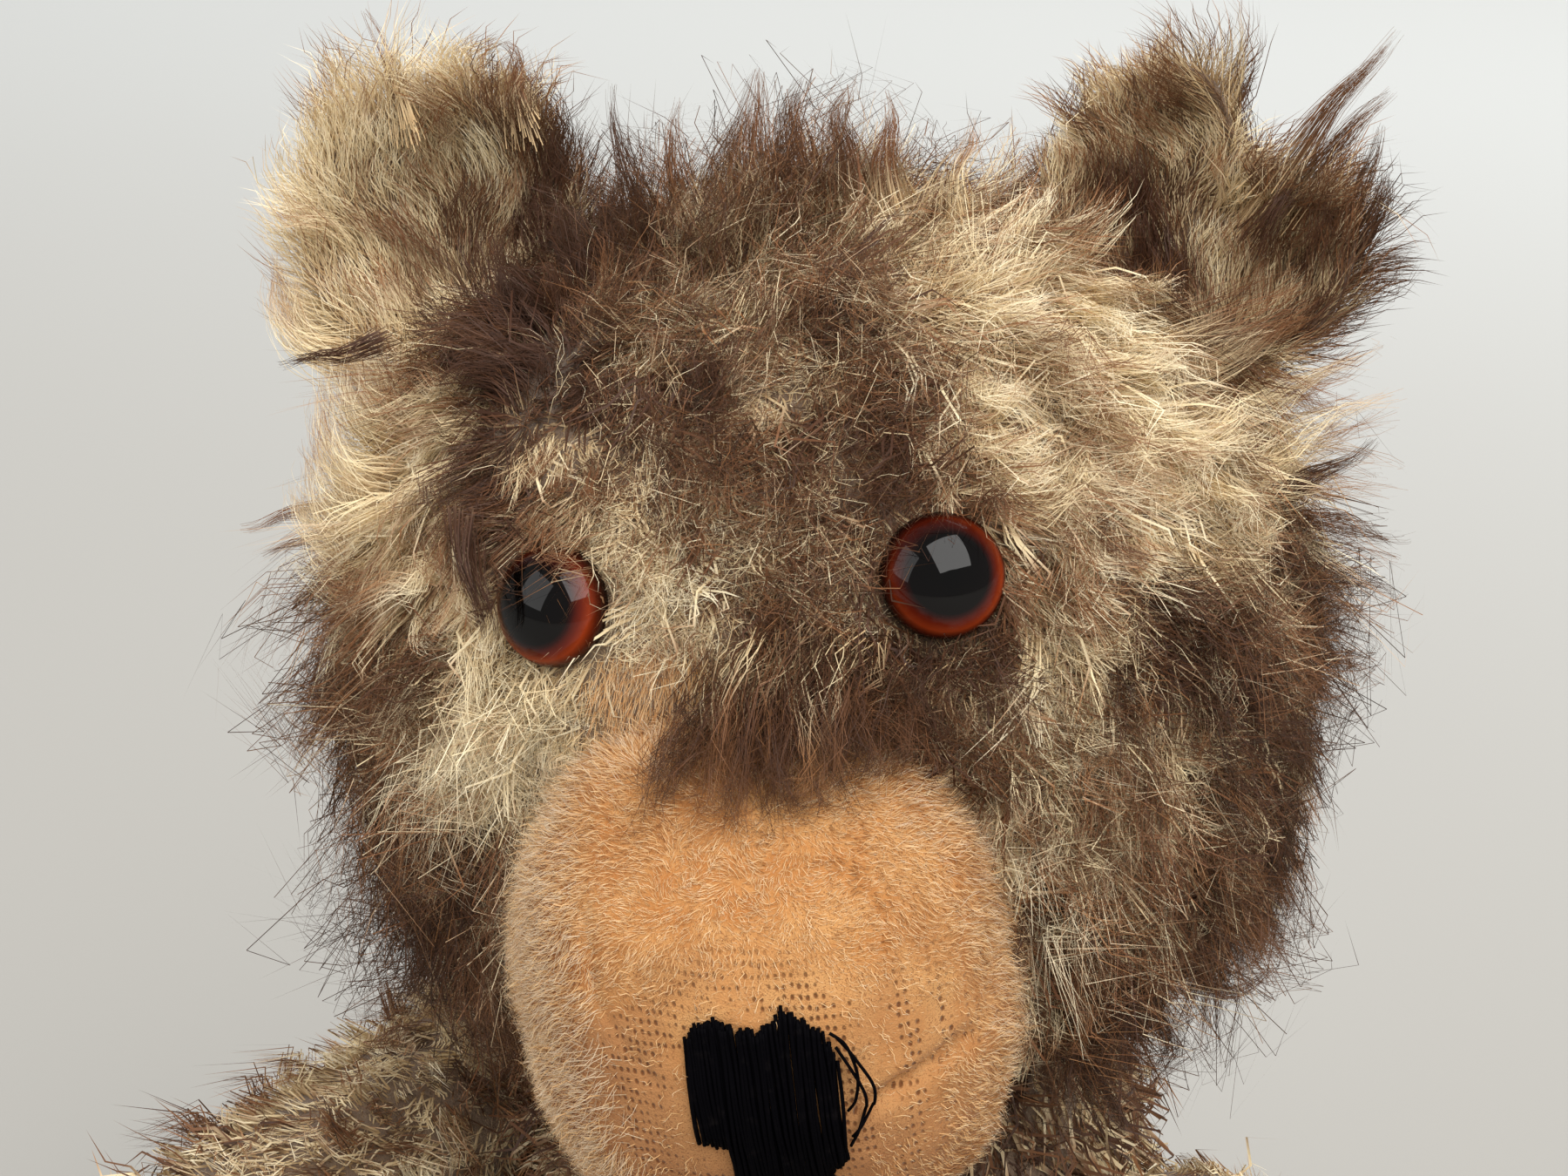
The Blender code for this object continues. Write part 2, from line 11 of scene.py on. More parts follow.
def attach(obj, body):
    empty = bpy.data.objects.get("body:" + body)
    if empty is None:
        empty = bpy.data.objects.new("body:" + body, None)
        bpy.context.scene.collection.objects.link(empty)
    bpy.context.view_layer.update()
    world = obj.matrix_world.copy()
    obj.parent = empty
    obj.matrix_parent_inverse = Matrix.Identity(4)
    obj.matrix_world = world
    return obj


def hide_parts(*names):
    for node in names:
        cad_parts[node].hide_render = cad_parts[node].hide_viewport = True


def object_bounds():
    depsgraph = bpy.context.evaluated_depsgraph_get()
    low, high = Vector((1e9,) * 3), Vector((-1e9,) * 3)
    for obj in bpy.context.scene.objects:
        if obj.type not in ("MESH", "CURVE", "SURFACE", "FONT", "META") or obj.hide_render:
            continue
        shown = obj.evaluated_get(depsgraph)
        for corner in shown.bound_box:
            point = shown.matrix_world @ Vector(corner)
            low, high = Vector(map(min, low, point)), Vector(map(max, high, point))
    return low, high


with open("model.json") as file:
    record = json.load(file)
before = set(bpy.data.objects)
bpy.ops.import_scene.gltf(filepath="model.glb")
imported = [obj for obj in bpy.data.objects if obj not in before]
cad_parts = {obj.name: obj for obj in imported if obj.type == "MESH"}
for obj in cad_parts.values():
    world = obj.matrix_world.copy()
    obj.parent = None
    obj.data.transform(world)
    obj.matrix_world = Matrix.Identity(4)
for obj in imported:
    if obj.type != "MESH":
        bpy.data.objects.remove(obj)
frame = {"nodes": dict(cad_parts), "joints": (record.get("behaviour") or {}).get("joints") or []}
cadLow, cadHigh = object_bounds()
nodes = frame["nodes"]
mm = 0.001
sides = {"left": 1, "right": -1}
jointPlace = {joint["name"]: Vector(joint["pos_m"]) for joint in frame["joints"]}
jointAxis = {joint["name"]: Vector(joint["axis"]) for joint in frame["joints"]}
print("frame loaded:", len(nodes), "nodes")


# each part of the bear has its own frame, in millimetres: the head looks along -Y and a limb
# lies along Y

headSet = {"lean": 8.2, "turn": 22, "rise": 38.3 * mm}
limbDrop = {"arm_left": 8, "arm_right": 10, "leg_left": 0.3, "leg_right": 0.3}


def headFrame():
    lean = Matrix.Rotation(-math.radians(headSet["lean"]), 4, "Y")
    turn = Matrix.Rotation(math.radians(headSet["turn"]), 4, "Z")
    rise = Matrix.Translation((0, 0, headSet["rise"]))
    return Matrix.Translation(jointPlace["neck_turn"]) @ lean @ turn @ rise


def sideOf(name):
    return sides[name.split("_")[1]]


def titled(name):
    # arm_left becomes armLeft
    first, *rest = name.split("_")
    return first + "".join(word.title() for word in rest)


def limbFrame(name):
    out = jointAxis[name + "_swing"] * -sideOf(name)
    drop = math.radians(limbDrop[name])
    down = Vector((0, -math.cos(drop), -math.sin(drop)))
    down = (down - out * down.dot(out)).normalized()
    turn = Matrix((out, down, out.cross(down))).transposed().to_4x4()
    return Matrix.Translation(jointPlace[name + "_swing"]) @ turn


headPlace = headFrame()
seat = Matrix.Translation((jointPlace["neck_turn"].x, jointPlace["neck_turn"].y, 0))


# writing nodes as sums: a Wire is an output socket

class Wire:
    def __init__(self, tree, socket):
        self.tree, self.socket = tree, socket

    def out(self, name):
        return Wire(self.tree, self.socket.node.outputs[name])

    def sum(self, operation, first, second):
        isVector = any(
            isinstance(part, (tuple, Vector))
            or isinstance(part, Wire) and part.socket.type in ("VECTOR", "RGBA")
            for part in (first, second)
        )
        kind = "ShaderNodeVectorMath" if isVector else "ShaderNodeMath"
        return makeNode(self.tree, kind, {"operation": operation}, {0: first, 1: second})

    def __add__(self, other):
        return self.sum("ADD", self, other)

    def __radd__(self, other):
        return self.sum("ADD", other, self)

    def __sub__(self, other):
        return self.sum("SUBTRACT", self, other)

    def __rsub__(self, other):
        return self.sum("SUBTRACT", other, self)

    def __mul__(self, other):
        return self.sum("MULTIPLY", self, other)

    def __rmul__(self, other):
        return self.sum("MULTIPLY", other, self)

    def __truediv__(self, other):
        return self.sum("DIVIDE", self, other)

    def __pow__(self, other):
        return self.sum("POWER", self, other)


def makeNode(tree, kind, settings=None, inputs=None, output=0):
    node = tree.nodes.new(kind)
    for name, value in (settings or {}).items():
        if name == "stops":
            ramp = node.color_ramp.elements
            ramp.remove(ramp[1])
            ramp[0].position, ramp[0].color = value[0][0], (*value[0][1], 1)
            for place, colour in value[1:]:
                ramp.new(place).color = (*colour, 1)
        else:
            setattr(node, name, value)
    for name, value in (inputs or {}).items():
        socket = node.inputs[name]
        if isinstance(value, Wire):
            tree.links.new(value.socket, socket)
        elif socket.type == "RGBA":
            socket.default_value = (*value, 1) if len(value) == 3 else value
        elif socket.type == "VECTOR" and isinstance(value, (int, float)):
            socket.default_value = (value,) * 3
        else:
            socket.default_value = value
    return Wire(tree, node.outputs[output])


def mathOf(kind, wire):
    return makeNode(wire.tree, "ShaderNodeMath", {"operation": kind}, {0: wire})


def vectorOf(kind, *wires):
    output = 1 if kind in ("DOT_PRODUCT", "LENGTH") else 0
    inputs = dict(enumerate(wires))
    return makeNode(wires[0].tree, "ShaderNodeVectorMath", {"operation": kind}, inputs, output)


def clamped(wire, low=0.0, high=1.0):
    return makeNode(wire.tree, "ShaderNodeClamp", None, {"Value": wire, "Min": low, "Max": high})


def smoothStep(wire, low, high, start=0.0, end=1.0):
    inputs = {"Value": wire, 1: low, 2: high, 3: start, 4: end}
    return makeNode(wire.tree, "ShaderNodeMapRange", {"interpolation_type": "SMOOTHSTEP"}, inputs)


def mixed(factor, first, second):
    settings = {"data_type": "RGBA", "blend_type": "MIX"}
    return makeNode(factor.tree, "ShaderNodeMix", settings, {0: factor, 6: first, 7: second}, 2)


def colourAt(wire, stops):
    return makeNode(wire.tree, "ShaderNodeValToRGB", {"stops": stops}, {0: wire})


def stripOf(tree, x, y):
    # where a strand's colour is read: its tone across, and how far along it a point is
    return makeNode(tree, "ShaderNodeCombineXYZ", None, {"X": x, "Y": y})


def parts(wire):
    split = makeNode(wire.tree, "ShaderNodeSeparateXYZ", None, {0: wire})
    return split, split.out("Y"), split.out("Z")


# materials

def newMaterial(name):
    made = bpy.data.materials.new(name)
    made.use_nodes = True
    return made, made.node_tree


def finished(made, looks):
    # what the shader's sockets take: a wire where it varies, or else a number
    shader = made.node_tree.nodes["Principled BSDF"]
    for name, value in looks.items():
        if isinstance(value, Wire):
            made.node_tree.links.new(value.socket, shader.inputs[name])
        else:
            shader.inputs[name].default_value = value
    return made


def objectPlace(tree, scale=1000):
    # a scale of 1000 counts in millimetres
    return makeNode(tree, "ShaderNodeTexCoord", output=3) * scale


def fieldValue(tree, name, output=2):
    return makeNode(tree, "ShaderNodeAttribute", {"attribute_name": name}, output=output)


def grain(place, scale, detail=3.0, roughness=0.55, **more):
    inputs = {"Vector": place, "Scale": scale, "Detail": detail, "Roughness": roughness, **more}
    return makeNode(place.tree, "ShaderNodeTexNoise", {"noise_dimensions": "3D"}, inputs)


def bumped(height, strength, distance):
    inputs = {"Height": height, "Strength": strength, "Distance": distance * mm}
    return makeNode(height.tree, "ShaderNodeBump", None, inputs)


pileFinish = {
    "pale": [(0.0, (0.60, 0.41, 0.21)), (0.35, (0.90, 0.75, 0.47)), (1.0, (1.0, 0.91, 0.69))],
    "dark": [
        (0.0, (0.60, 0.34, 0.15)), (0.35, (0.40, 0.19, 0.074)), (0.6, (0.22, 0.094, 0.039)),
        (1.0, (0.058, 0.024, 0.013)),
    ],
    # where the dark part starts, for tone 0 and tone 1
    "tipsFrom": (1.05, -0.25), "tipsOver": 0.34,
    "glow": (0.70, 0.46, 0.26), "through": 0.05,    # light that comes through a strand
}
fuzzFinish = {
    "pale": [(0.0, (0.58, 0.30, 0.11)), (0.5, (0.78, 0.54, 0.28)), (1.0, (1.0, 0.90, 0.68))],
    "dark": [(0.0, (0.66, 0.38, 0.16)), (0.5, (0.54, 0.26, 0.085)), (1.0, (0.26, 0.105, 0.035))],
    "tipsFrom": (1.1, -0.2), "tipsOver": 0.3,
    "glow": (0.74, 0.42, 0.20), "through": 0.12,
}
# pale fuzz for the muzzle's outline, made pale partly as painted light caught in the fuzz
haloFuzzFinish = {
    **fuzzFinish, "pale": [(0.0, (0.60, 0.43, 0.25)), (1.0, (0.92, 0.81, 0.63))], "through": 0.2,
}


def strandMaterial(name, finish):
    # the colour depends on two things alone, a strand's tone and how far along it a point is
    made, tree = newMaterial(name)
    tone, along, _ = parts(makeNode(tree, "ShaderNodeUVMap", {"uv_map": "OFBake"}))
    pale, dark = colourAt(along, finish["pale"]), colourAt(tone, finish["dark"])
    atNone, atAll = finish["tipsFrom"]
    past = along - (atNone + (atAll - atNone) * tone)
    tips = smoothStep(past, -0.5 * finish["tipsOver"], finish["tipsOver"])
    finished(made, {
        "Base Color": mixed(tips, pale, dark), "Roughness": 0.5, "Sheen Weight": 0.03,
        "Sheen Roughness": 0.4, "Specular IOR Level": 0.22,
    })
    lit = makeNode(tree, "ShaderNodeBsdfTranslucent", None, {"Color": finish["glow"]})
    shader = Wire(tree, tree.nodes["Principled BSDF"].outputs[0])
    both = makeNode(tree, "ShaderNodeMixShader", None, {0: finish["through"], 1: shader, 2: lit})
    tree.links.new(both.socket, tree.nodes["Material Output"].inputs["Surface"])
    return made


def backingMaterial():
    # woven backing with the dense foot of the pile, tan to deep brown, kept dark partly as painted
    # shade in the gaps between tufts
    made, tree = newMaterial("wornBacking")
    place = objectPlace(tree)
    tone = fieldValue(tree, "tone")
    cloud, tuft = grain(place, 0.35, 4), grain(place, 1.9, 2, 0.7)
    shade = clamped(tone * 0.55 + cloud * 0.35 + tuft * 0.3 - 0.1)
    stops = [(0.0, (0.34, 0.25, 0.16)), (0.5, (0.19, 0.125, 0.08)), (1.0, (0.075, 0.045, 0.03))]
    return finished(made, {
        "Base Color": colourAt(shade, stops), "Normal": bumped(tuft + cloud * 0.5, 0.8, 0.6),
        "Roughness": 0.9, "Sheen Weight": 0.2, "Sheen Roughness": 0.5,
    })


def shortPileMaterial():
    # apricot plush rubbed down in rows; "deep" darkens it with random tone, and on the muzzle also
    # with painted shade towards its bottom and the bear's right
    made, tree = newMaterial("rubbedShortPile")
    place = objectPlace(tree)
    wear, deep = fieldValue(tree, "wear"), fieldValue(tree, "deep")
    rows = fieldValue(tree, "rows", 1)
    cloud, fleck, fine = grain(place, 0.22, 4), grain(place, 2.6, 2, 0.7), grain(place, 6.0, 1, 0.6)
    holes = makeNode(tree, "ShaderNodeTexVoronoi", {"feature": "F1", "voronoi_dimensions": "3D"}, {
        "Vector": rows, "Scale": 1.0, "Randomness": 0.26,
    })
    patch = smoothStep(fleck * 0.4 + cloud * 0.6, 0.30, 0.42)
    hole = (1 - smoothStep(holes, 0.12, 0.35)) * wear * patch
    speck = (1 - smoothStep(fine, 0.34, 0.44)) * smoothStep(cloud, 0.36, 0.56)
    colour = mixed(smoothStep(cloud, 0.32, 0.68), (0.46, 0.19, 0.055), (0.58, 0.30, 0.11))
    colour = mixed(smoothStep(fleck, 0.5, 0.78) * 0.5, colour, (0.66, 0.39, 0.17))
    # painted shade on the muzzle where "deep" is high; on the pads "deep" is random tone
    colour = mixed(clamped(deep), colour, (0.26, 0.10, 0.035))
    colour = mixed(wear * 0.3, colour, (0.62, 0.33, 0.14))
    colour = mixed(speck * 0.75, colour, (0.22, 0.085, 0.03))
    colour = mixed(hole * 0.9, colour, (0.15, 0.048, 0.014))
    height = fleck * 0.5 + fine * 0.35 - hole * 0.9
    return finished(made, {
        "Base Color": colour, "Normal": bumped(height, 0.7, 0.35), "Roughness": 0.88,
        "Sheen Weight": 0.08, "Sheen Roughness": 0.4, "Specular IOR Level": 0.2,
    })


def threadMaterial():
    made, tree = newMaterial("blackTwistedThread")
    place = objectPlace(tree)
    ply, dust = grain(place, 3.0, 2, 0.6), grain(place, 0.7, 3, 0.6)
    dusty = smoothStep(dust, 0.55, 0.85) * 0.5
    return finished(made, {
        "Base Color": mixed(dusty, (0.0015, 0.0013, 0.002), (0.010, 0.008, 0.008)),
        "Roughness": smoothStep(ply, 0.3, 0.7, 0.5, 0.7), "Normal": bumped(ply, 0.4, 0.12),
        "Specular IOR Level": 0.02,
    })


def glassMaterial():
    # a dark pupil and an amber ring under clear glass; how far out a point is comes as "ring", and
    # "lit" holds painted light and shade
    made, tree = newMaterial("amberGlass")
    ring, light = fieldValue(tree, "ring"), fieldValue(tree, "lit")
    fleck = grain(objectPlace(tree), 1.4, 3, 0.6)
    colour = colourAt(ring, [
        (0.0, (0.001, 0.001, 0.001)), (0.62, (0.002, 0.001, 0.001)), (0.68, (0.025, 0.003, 0.002)),
        (0.79, (0.13, 0.013, 0.004)), (0.88, (0.27, 0.034, 0.007)), (0.95, (0.08, 0.010, 0.003)),
        (1.0, (0.010, 0.003, 0.002)),
    ])
    # painted shade: the colour is dimmed where "lit" is low
    dim = mixed(clamped(light + fleck * 0.3 - 0.1), (0.16, 0.10, 0.10), (1.0, 1.0, 1.0))
    return finished(made, {
        "Base Color": vectorOf("MULTIPLY", colour, dim), "Roughness": 0.12, "Coat Weight": 0.5,
        "Coat Roughness": 0.03, "Specular IOR Level": 0.0,
    })


def woodWoolMaterial():
    made, tree = newMaterial("woodWool")
    strands = grain(objectPlace(tree), 0.9, 4, 0.7, Distortion=2.5)
    return finished(made, {
        "Base Color": mixed(
            smoothStep(strands, 0.35, 0.65), (0.42, 0.29, 0.15), (0.80, 0.66, 0.42)
        ),
        "Normal": bumped(strands, 1.0, 0.8), "Roughness": 0.85,
    })


def boardMaterial():
    made, tree = newMaterial("pressedBoard")
    place = objectPlace(tree)
    fibre, stain = grain(place, 1.6, 5, 0.7), grain(place, 0.12, 3)
    colour = mixed(smoothStep(fibre, 0.35, 0.7), (0.22, 0.13, 0.07), (0.42, 0.28, 0.16))
    colour = mixed(smoothStep(stain, 0.5, 0.75) * 0.5, colour, (0.12, 0.07, 0.04))
    return finished(made, {
        "Base Color": colour, "Normal": bumped(fibre, 0.5, 0.2), "Roughness": 0.82,
    })


def steelMaterial():
    made, tree = newMaterial("dullSteel")
    stain = grain(objectPlace(tree), 0.5, 4, 0.65)
    rust = smoothStep(stain, 0.55, 0.72)
    return finished(made, {
        "Base Color": mixed(rust, (0.45, 0.44, 0.42), (0.20, 0.085, 0.035)),
        "Roughness": smoothStep(stain, 0.3, 0.7, 0.35, 0.75),
        "Metallic": 1 - rust * 0.85, "Normal": bumped(stain, 0.3, 0.08),
    })


finishes = {
    "mohair": strandMaterial("brownTippedMohair", pileFinish),
    "fuzz": strandMaterial("apricotFuzz", fuzzFinish),
    "paleFuzz": strandMaterial("bleachedFuzz", haloFuzzFinish),
    "backing": backingMaterial(),
    "shortPile": shortPileMaterial(),
    "thread": threadMaterial(),
    "glass": glassMaterial(),
    "woodWool": woodWoolMaterial(),
    "board": boardMaterial(),
    "steel": steelMaterial(),
}
print("materials made:", len(finishes))


# meshes

def linked(name, data):
    made = bpy.data.objects.new(name, data)
    bpy.context.scene.collection.objects.link(made)
    return made


def newObject(name, verts, faces=(), edges=(), finish=None):
    mesh = bpy.data.meshes.new(name)
    mesh.from_pydata([tuple(v) for v in verts], edges, [tuple(f) for f in faces])
    if finish:
        mesh.materials.append(finishes[finish])
    mesh.shade_smooth()
    return linked(name, mesh)


def reworked(mesh, *steps):
    bm = bmesh.new()
    bm.from_mesh(mesh)
    for step in steps:
        step(bm)
    bm.to_mesh(mesh)
    bm.free()


def merged(apart):
    return lambda bm: bmesh.ops.remove_doubles(bm, verts=bm.verts, dist=apart * mm)


def faceOut(bm):
    bmesh.ops.recalc_face_normals(bm, faces=bm.faces)


def readRows(items, field):
    flat = np.empty(len(items) * 3, np.float32)
    items.foreach_get(field, flat)
    return flat.reshape(-1, 3).astype(float)


def pointsOf(mesh):
    return readRows(mesh.vertices, "co")


def normalsOf(mesh):
    return readRows(mesh.vertex_normals, "vector")


def setPoints(mesh, points):
    mesh.vertices.foreach_set("co", np.asarray(points, np.float32).ravel())
    mesh.update()


def trianglesOf(mesh):
    return sum(len(face.vertices) - 2 for face in mesh.polygons)


def turned(points, place):
    # points in millimetres of a frame, put in the shared frame in metres
    m = np.array(place)
    return points * mm @ m[:3, :3].T + m[:3, 3]


def unturned(points, place):
    m = np.array(place.inverted())
    return (points @ m[:3, :3].T + m[:3, 3]) / mm


def turnedWay(ways, place):
    return ways @ np.array(place)[:3, :3].T


def unturnedWay(ways, place):
    return ways @ np.array(place)[:3, :3]


def inFrame(obj, place):
    # an object's points in millimetres and its normals, both in a frame
    return unturned(pointsOf(obj.data), place), unturnedWay(normalsOf(obj.data), place)


def storeField(mesh, name, values):
    values = np.asarray(values, np.float32)
    kind, label = ("FLOAT_VECTOR", "vector") if values.ndim == 2 else ("FLOAT", "value")
    if name in mesh.attributes:
        mesh.attributes.remove(mesh.attributes[name])
    mesh.attributes.new(name, kind, "POINT").data.foreach_set(label, values.ravel())


def ramped(values, low, high):
    return np.clip((values - low) / (high - low), 0, 1)


def softNoise(points, scale, seed=0.0):
    shift = Vector((seed * 13.7, seed * 7.1, seed * 3.3))
    return np.array([noise.noise(Vector(p) / scale + shift) for p in points])


def softWays(points, scale, seed):
    return np.stack([softNoise(points, scale, seed + k) for k in range(3)], 1)


def laidFlat(ways, normals):
    # turned into the surface, each of length 1
    ways = ways - normals * (ways * normals).sum(1)[:, None]
    return ways / (np.linalg.norm(ways, axis=1)[:, None] + 1e-6)


def ovalRow(centre, across, along, count, power=2.0):
    a = np.arange(count) / count * 2 * np.pi
    x, y = np.cos(a), np.sin(a)
    grow = (np.abs(x) ** power + np.abs(y) ** power) ** (-1 / power)
    return np.asarray(centre) + np.outer(x * grow, across) + np.outer(y * grow, along)


def skinThrough(name, rows, place, finish, shape=None):
    # a closed skin through rows of points in millimetres; the first and last row shrink to a pole
    count, total = len(rows[0]), len(rows)
    points = np.vstack([rows[0].mean(0)[None], *rows, rows[-1].mean(0)[None]])
    if shape:
        points = shape(points)
    last, top = len(points) - 1, 1 + (total - 1) * count
    faces = [(0, 1 + (k + 1) % count, 1 + k) for k in range(count)]
    for low in range(1, top, count):
        high = low + count
        faces += [
            (low + k, low + (k + 1) % count, high + (k + 1) % count, high + k)
            for k in range(count)
        ]
    faces += [(last, top + k, top + (k + 1) % count) for k in range(count)]
    made = newObject(name, turned(points, place), faces, finish=finish)
    reworked(made.data, merged(0.005), faceOut)
    return made


def finerStations(stations, count):
    # the same line through more stations, rounded between them
    table = np.array(stations, float)
    n = len(table)
    made = []
    for s in np.linspace(0, n - 1, count):
        k = min(int(s), n - 2)
        t = s - k
        before, after = table[max(k - 1, 0)], table[min(k + 2, n - 1)]
        a, b = table[k], table[k + 1]
        row = 0.5 * (
            2 * a + (b - before) * t + (2 * before - 5 * a + 4 * b - after) * t ** 2
            + (3 * a - before - 3 * b + after) * t ** 3
        )
        made.append(np.maximum(row, np.minimum(a, b)) if k in (0, n - 2) else row)
    return made


def pressed(points, at, way):
    # what stands past a plane is pressed flat against it
    past = np.maximum((points - at) @ way, 0)
    return points - np.outer(past, way)


def evaluatedMesh(obj):
    seen = obj.evaluated_get(bpy.context.evaluated_depsgraph_get())
    return bpy.data.meshes.new_from_object(seen)


def remeshed(obj, size):
    step = obj.modifiers.new("even", "REMESH")
    step.mode, step.voxel_size, step.use_smooth_shade = "VOXEL", size * mm, True
    soft = obj.modifiers.new("soft", "SMOOTH")
    soft.iterations, soft.factor = 2, 0.5
    bpy.context.view_layer.update()
    made = evaluatedMesh(obj)
    obj.modifiers.clear()
    obj.data = made
    return obj


def removed(*objects):
    for obj in objects:
        bpy.data.objects.remove(obj, do_unlink=True)


def declared(made, body, slot, *replaced, fill=None):
    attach(made, body)
    if replaced:
        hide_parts(*replaced)
    return made


# Geometry Nodes trees

def newTree(name, numbers):
    tree = bpy.data.node_groups.new(name, "GeometryNodeTree")
    tree.is_modifier = True
    face = tree.interface
    face.new_socket("Geometry", in_out="INPUT", socket_type="NodeSocketGeometry")
    kinds = {int: "Int", float: "Float", "object": "Object", "material": "Material"}
    for label, value in numbers.items():
        kind = kinds[value if isinstance(value, str) else type(value)]
        socket = face.new_socket(label, in_out="INPUT", socket_type="NodeSocket" + kind)
        if not isinstance(value, str):
            socket.default_value = value
    face.new_socket("Geometry", in_out="OUTPUT", socket_type="NodeSocketGeometry")
    return tree, makeNode(tree, "NodeGroupInput")


def closeTree(tree, geometry, finish):
    real = makeNode(tree, "GeometryNodeRealizeInstances", None, {0: geometry})
    done = makeNode(tree, "GeometryNodeSetMaterial", None, {0: real, "Material": finish})
    tree.links.new(done.socket, tree.nodes.new("NodeGroupOutput").inputs[0])


def runTree(obj, tree, values, name, body, slot):
    # the tree's result as a plain mesh that rides on a body; the object it grew from goes
    step = obj.modifiers.new("tree", "NODES")
    step.node_group = tree
    for item in tree.interface.items_tree:
        if item.in_out == "INPUT" and item.name in values:
            step[item.identifier] = values[item.name]
    mesh = evaluatedMesh(obj)
    removed(obj)
    kept = ("OFBake", "sharp_face", "material_index")
    spare = [
        f.name for f in mesh.attributes if not (f.is_internal or f.is_required or f.name in kept)
    ]
    for label in spare:
        mesh.attributes.remove(mesh.attributes[label])
    mesh.name = name
    mesh.shade_smooth()
    print(f"{name}: {trianglesOf(mesh)} triangles")
    return declared(linked(name, mesh), body, slot)


def named(tree, name, kind="FLOAT"):
    return makeNode(tree, "GeometryNodeInputNamedAttribute", {"data_type": kind}, {"Name": name})


def vectorNamed(tree, name):
    return named(tree, name, "FLOAT_VECTOR")


def stored(geometry, name, value, kind="FLOAT", domain="POINT"):
    settings = {"data_type": kind, "domain": domain}
    inputs = {"Geometry": geometry, "Name": name, "Value": value}
    return makeNode(geometry.tree, "GeometryNodeStoreNamedAttribute", settings, inputs)


def randomWay(tree, seed, ident=None):
    inputs = {0: (-1.0,) * 3, 1: (1.0,) * 3, "Seed": seed}
    if ident:
        inputs["ID"] = ident
    return makeNode(tree, "FunctionNodeRandomValue", {"data_type": "FLOAT_VECTOR"}, inputs)


def sampled(source, value, index, kind="FLOAT_VECTOR"):
    settings = {"data_type": kind, "domain": "POINT"}
    inputs = {"Geometry": source, 1: value, "Index": index}
    return makeNode(source.tree, "GeometryNodeSampleIndex", settings, inputs)


def placedPoints(geometry, **inputs):
    return makeNode(geometry.tree, "GeometryNodeSetPosition", None, {0: geometry, **inputs})


def tonedTree(tree, geometry, tone, along, across, finish):
    # a strand's tone and how far along it a point is become its place on the map
    spot = stripOf(tree, clamped(tone, 0.01, 0.99) + across * 0.004, along * 0.98 + 0.01)
    closeTree(tree, stored(geometry, "OFBake", spot, "FLOAT2", "CORNER"), finish)
    return tree


strandSet = {
    "rise": 0.14, "length": 0.22, "gather": 0.16, "width": 0.3,    # how much single strands differ
    "edge": (1.0, 2.4), "bow": (1.2, 1.35, 0.75), "twist": 0.9, "gatherPower": 1.1,
}


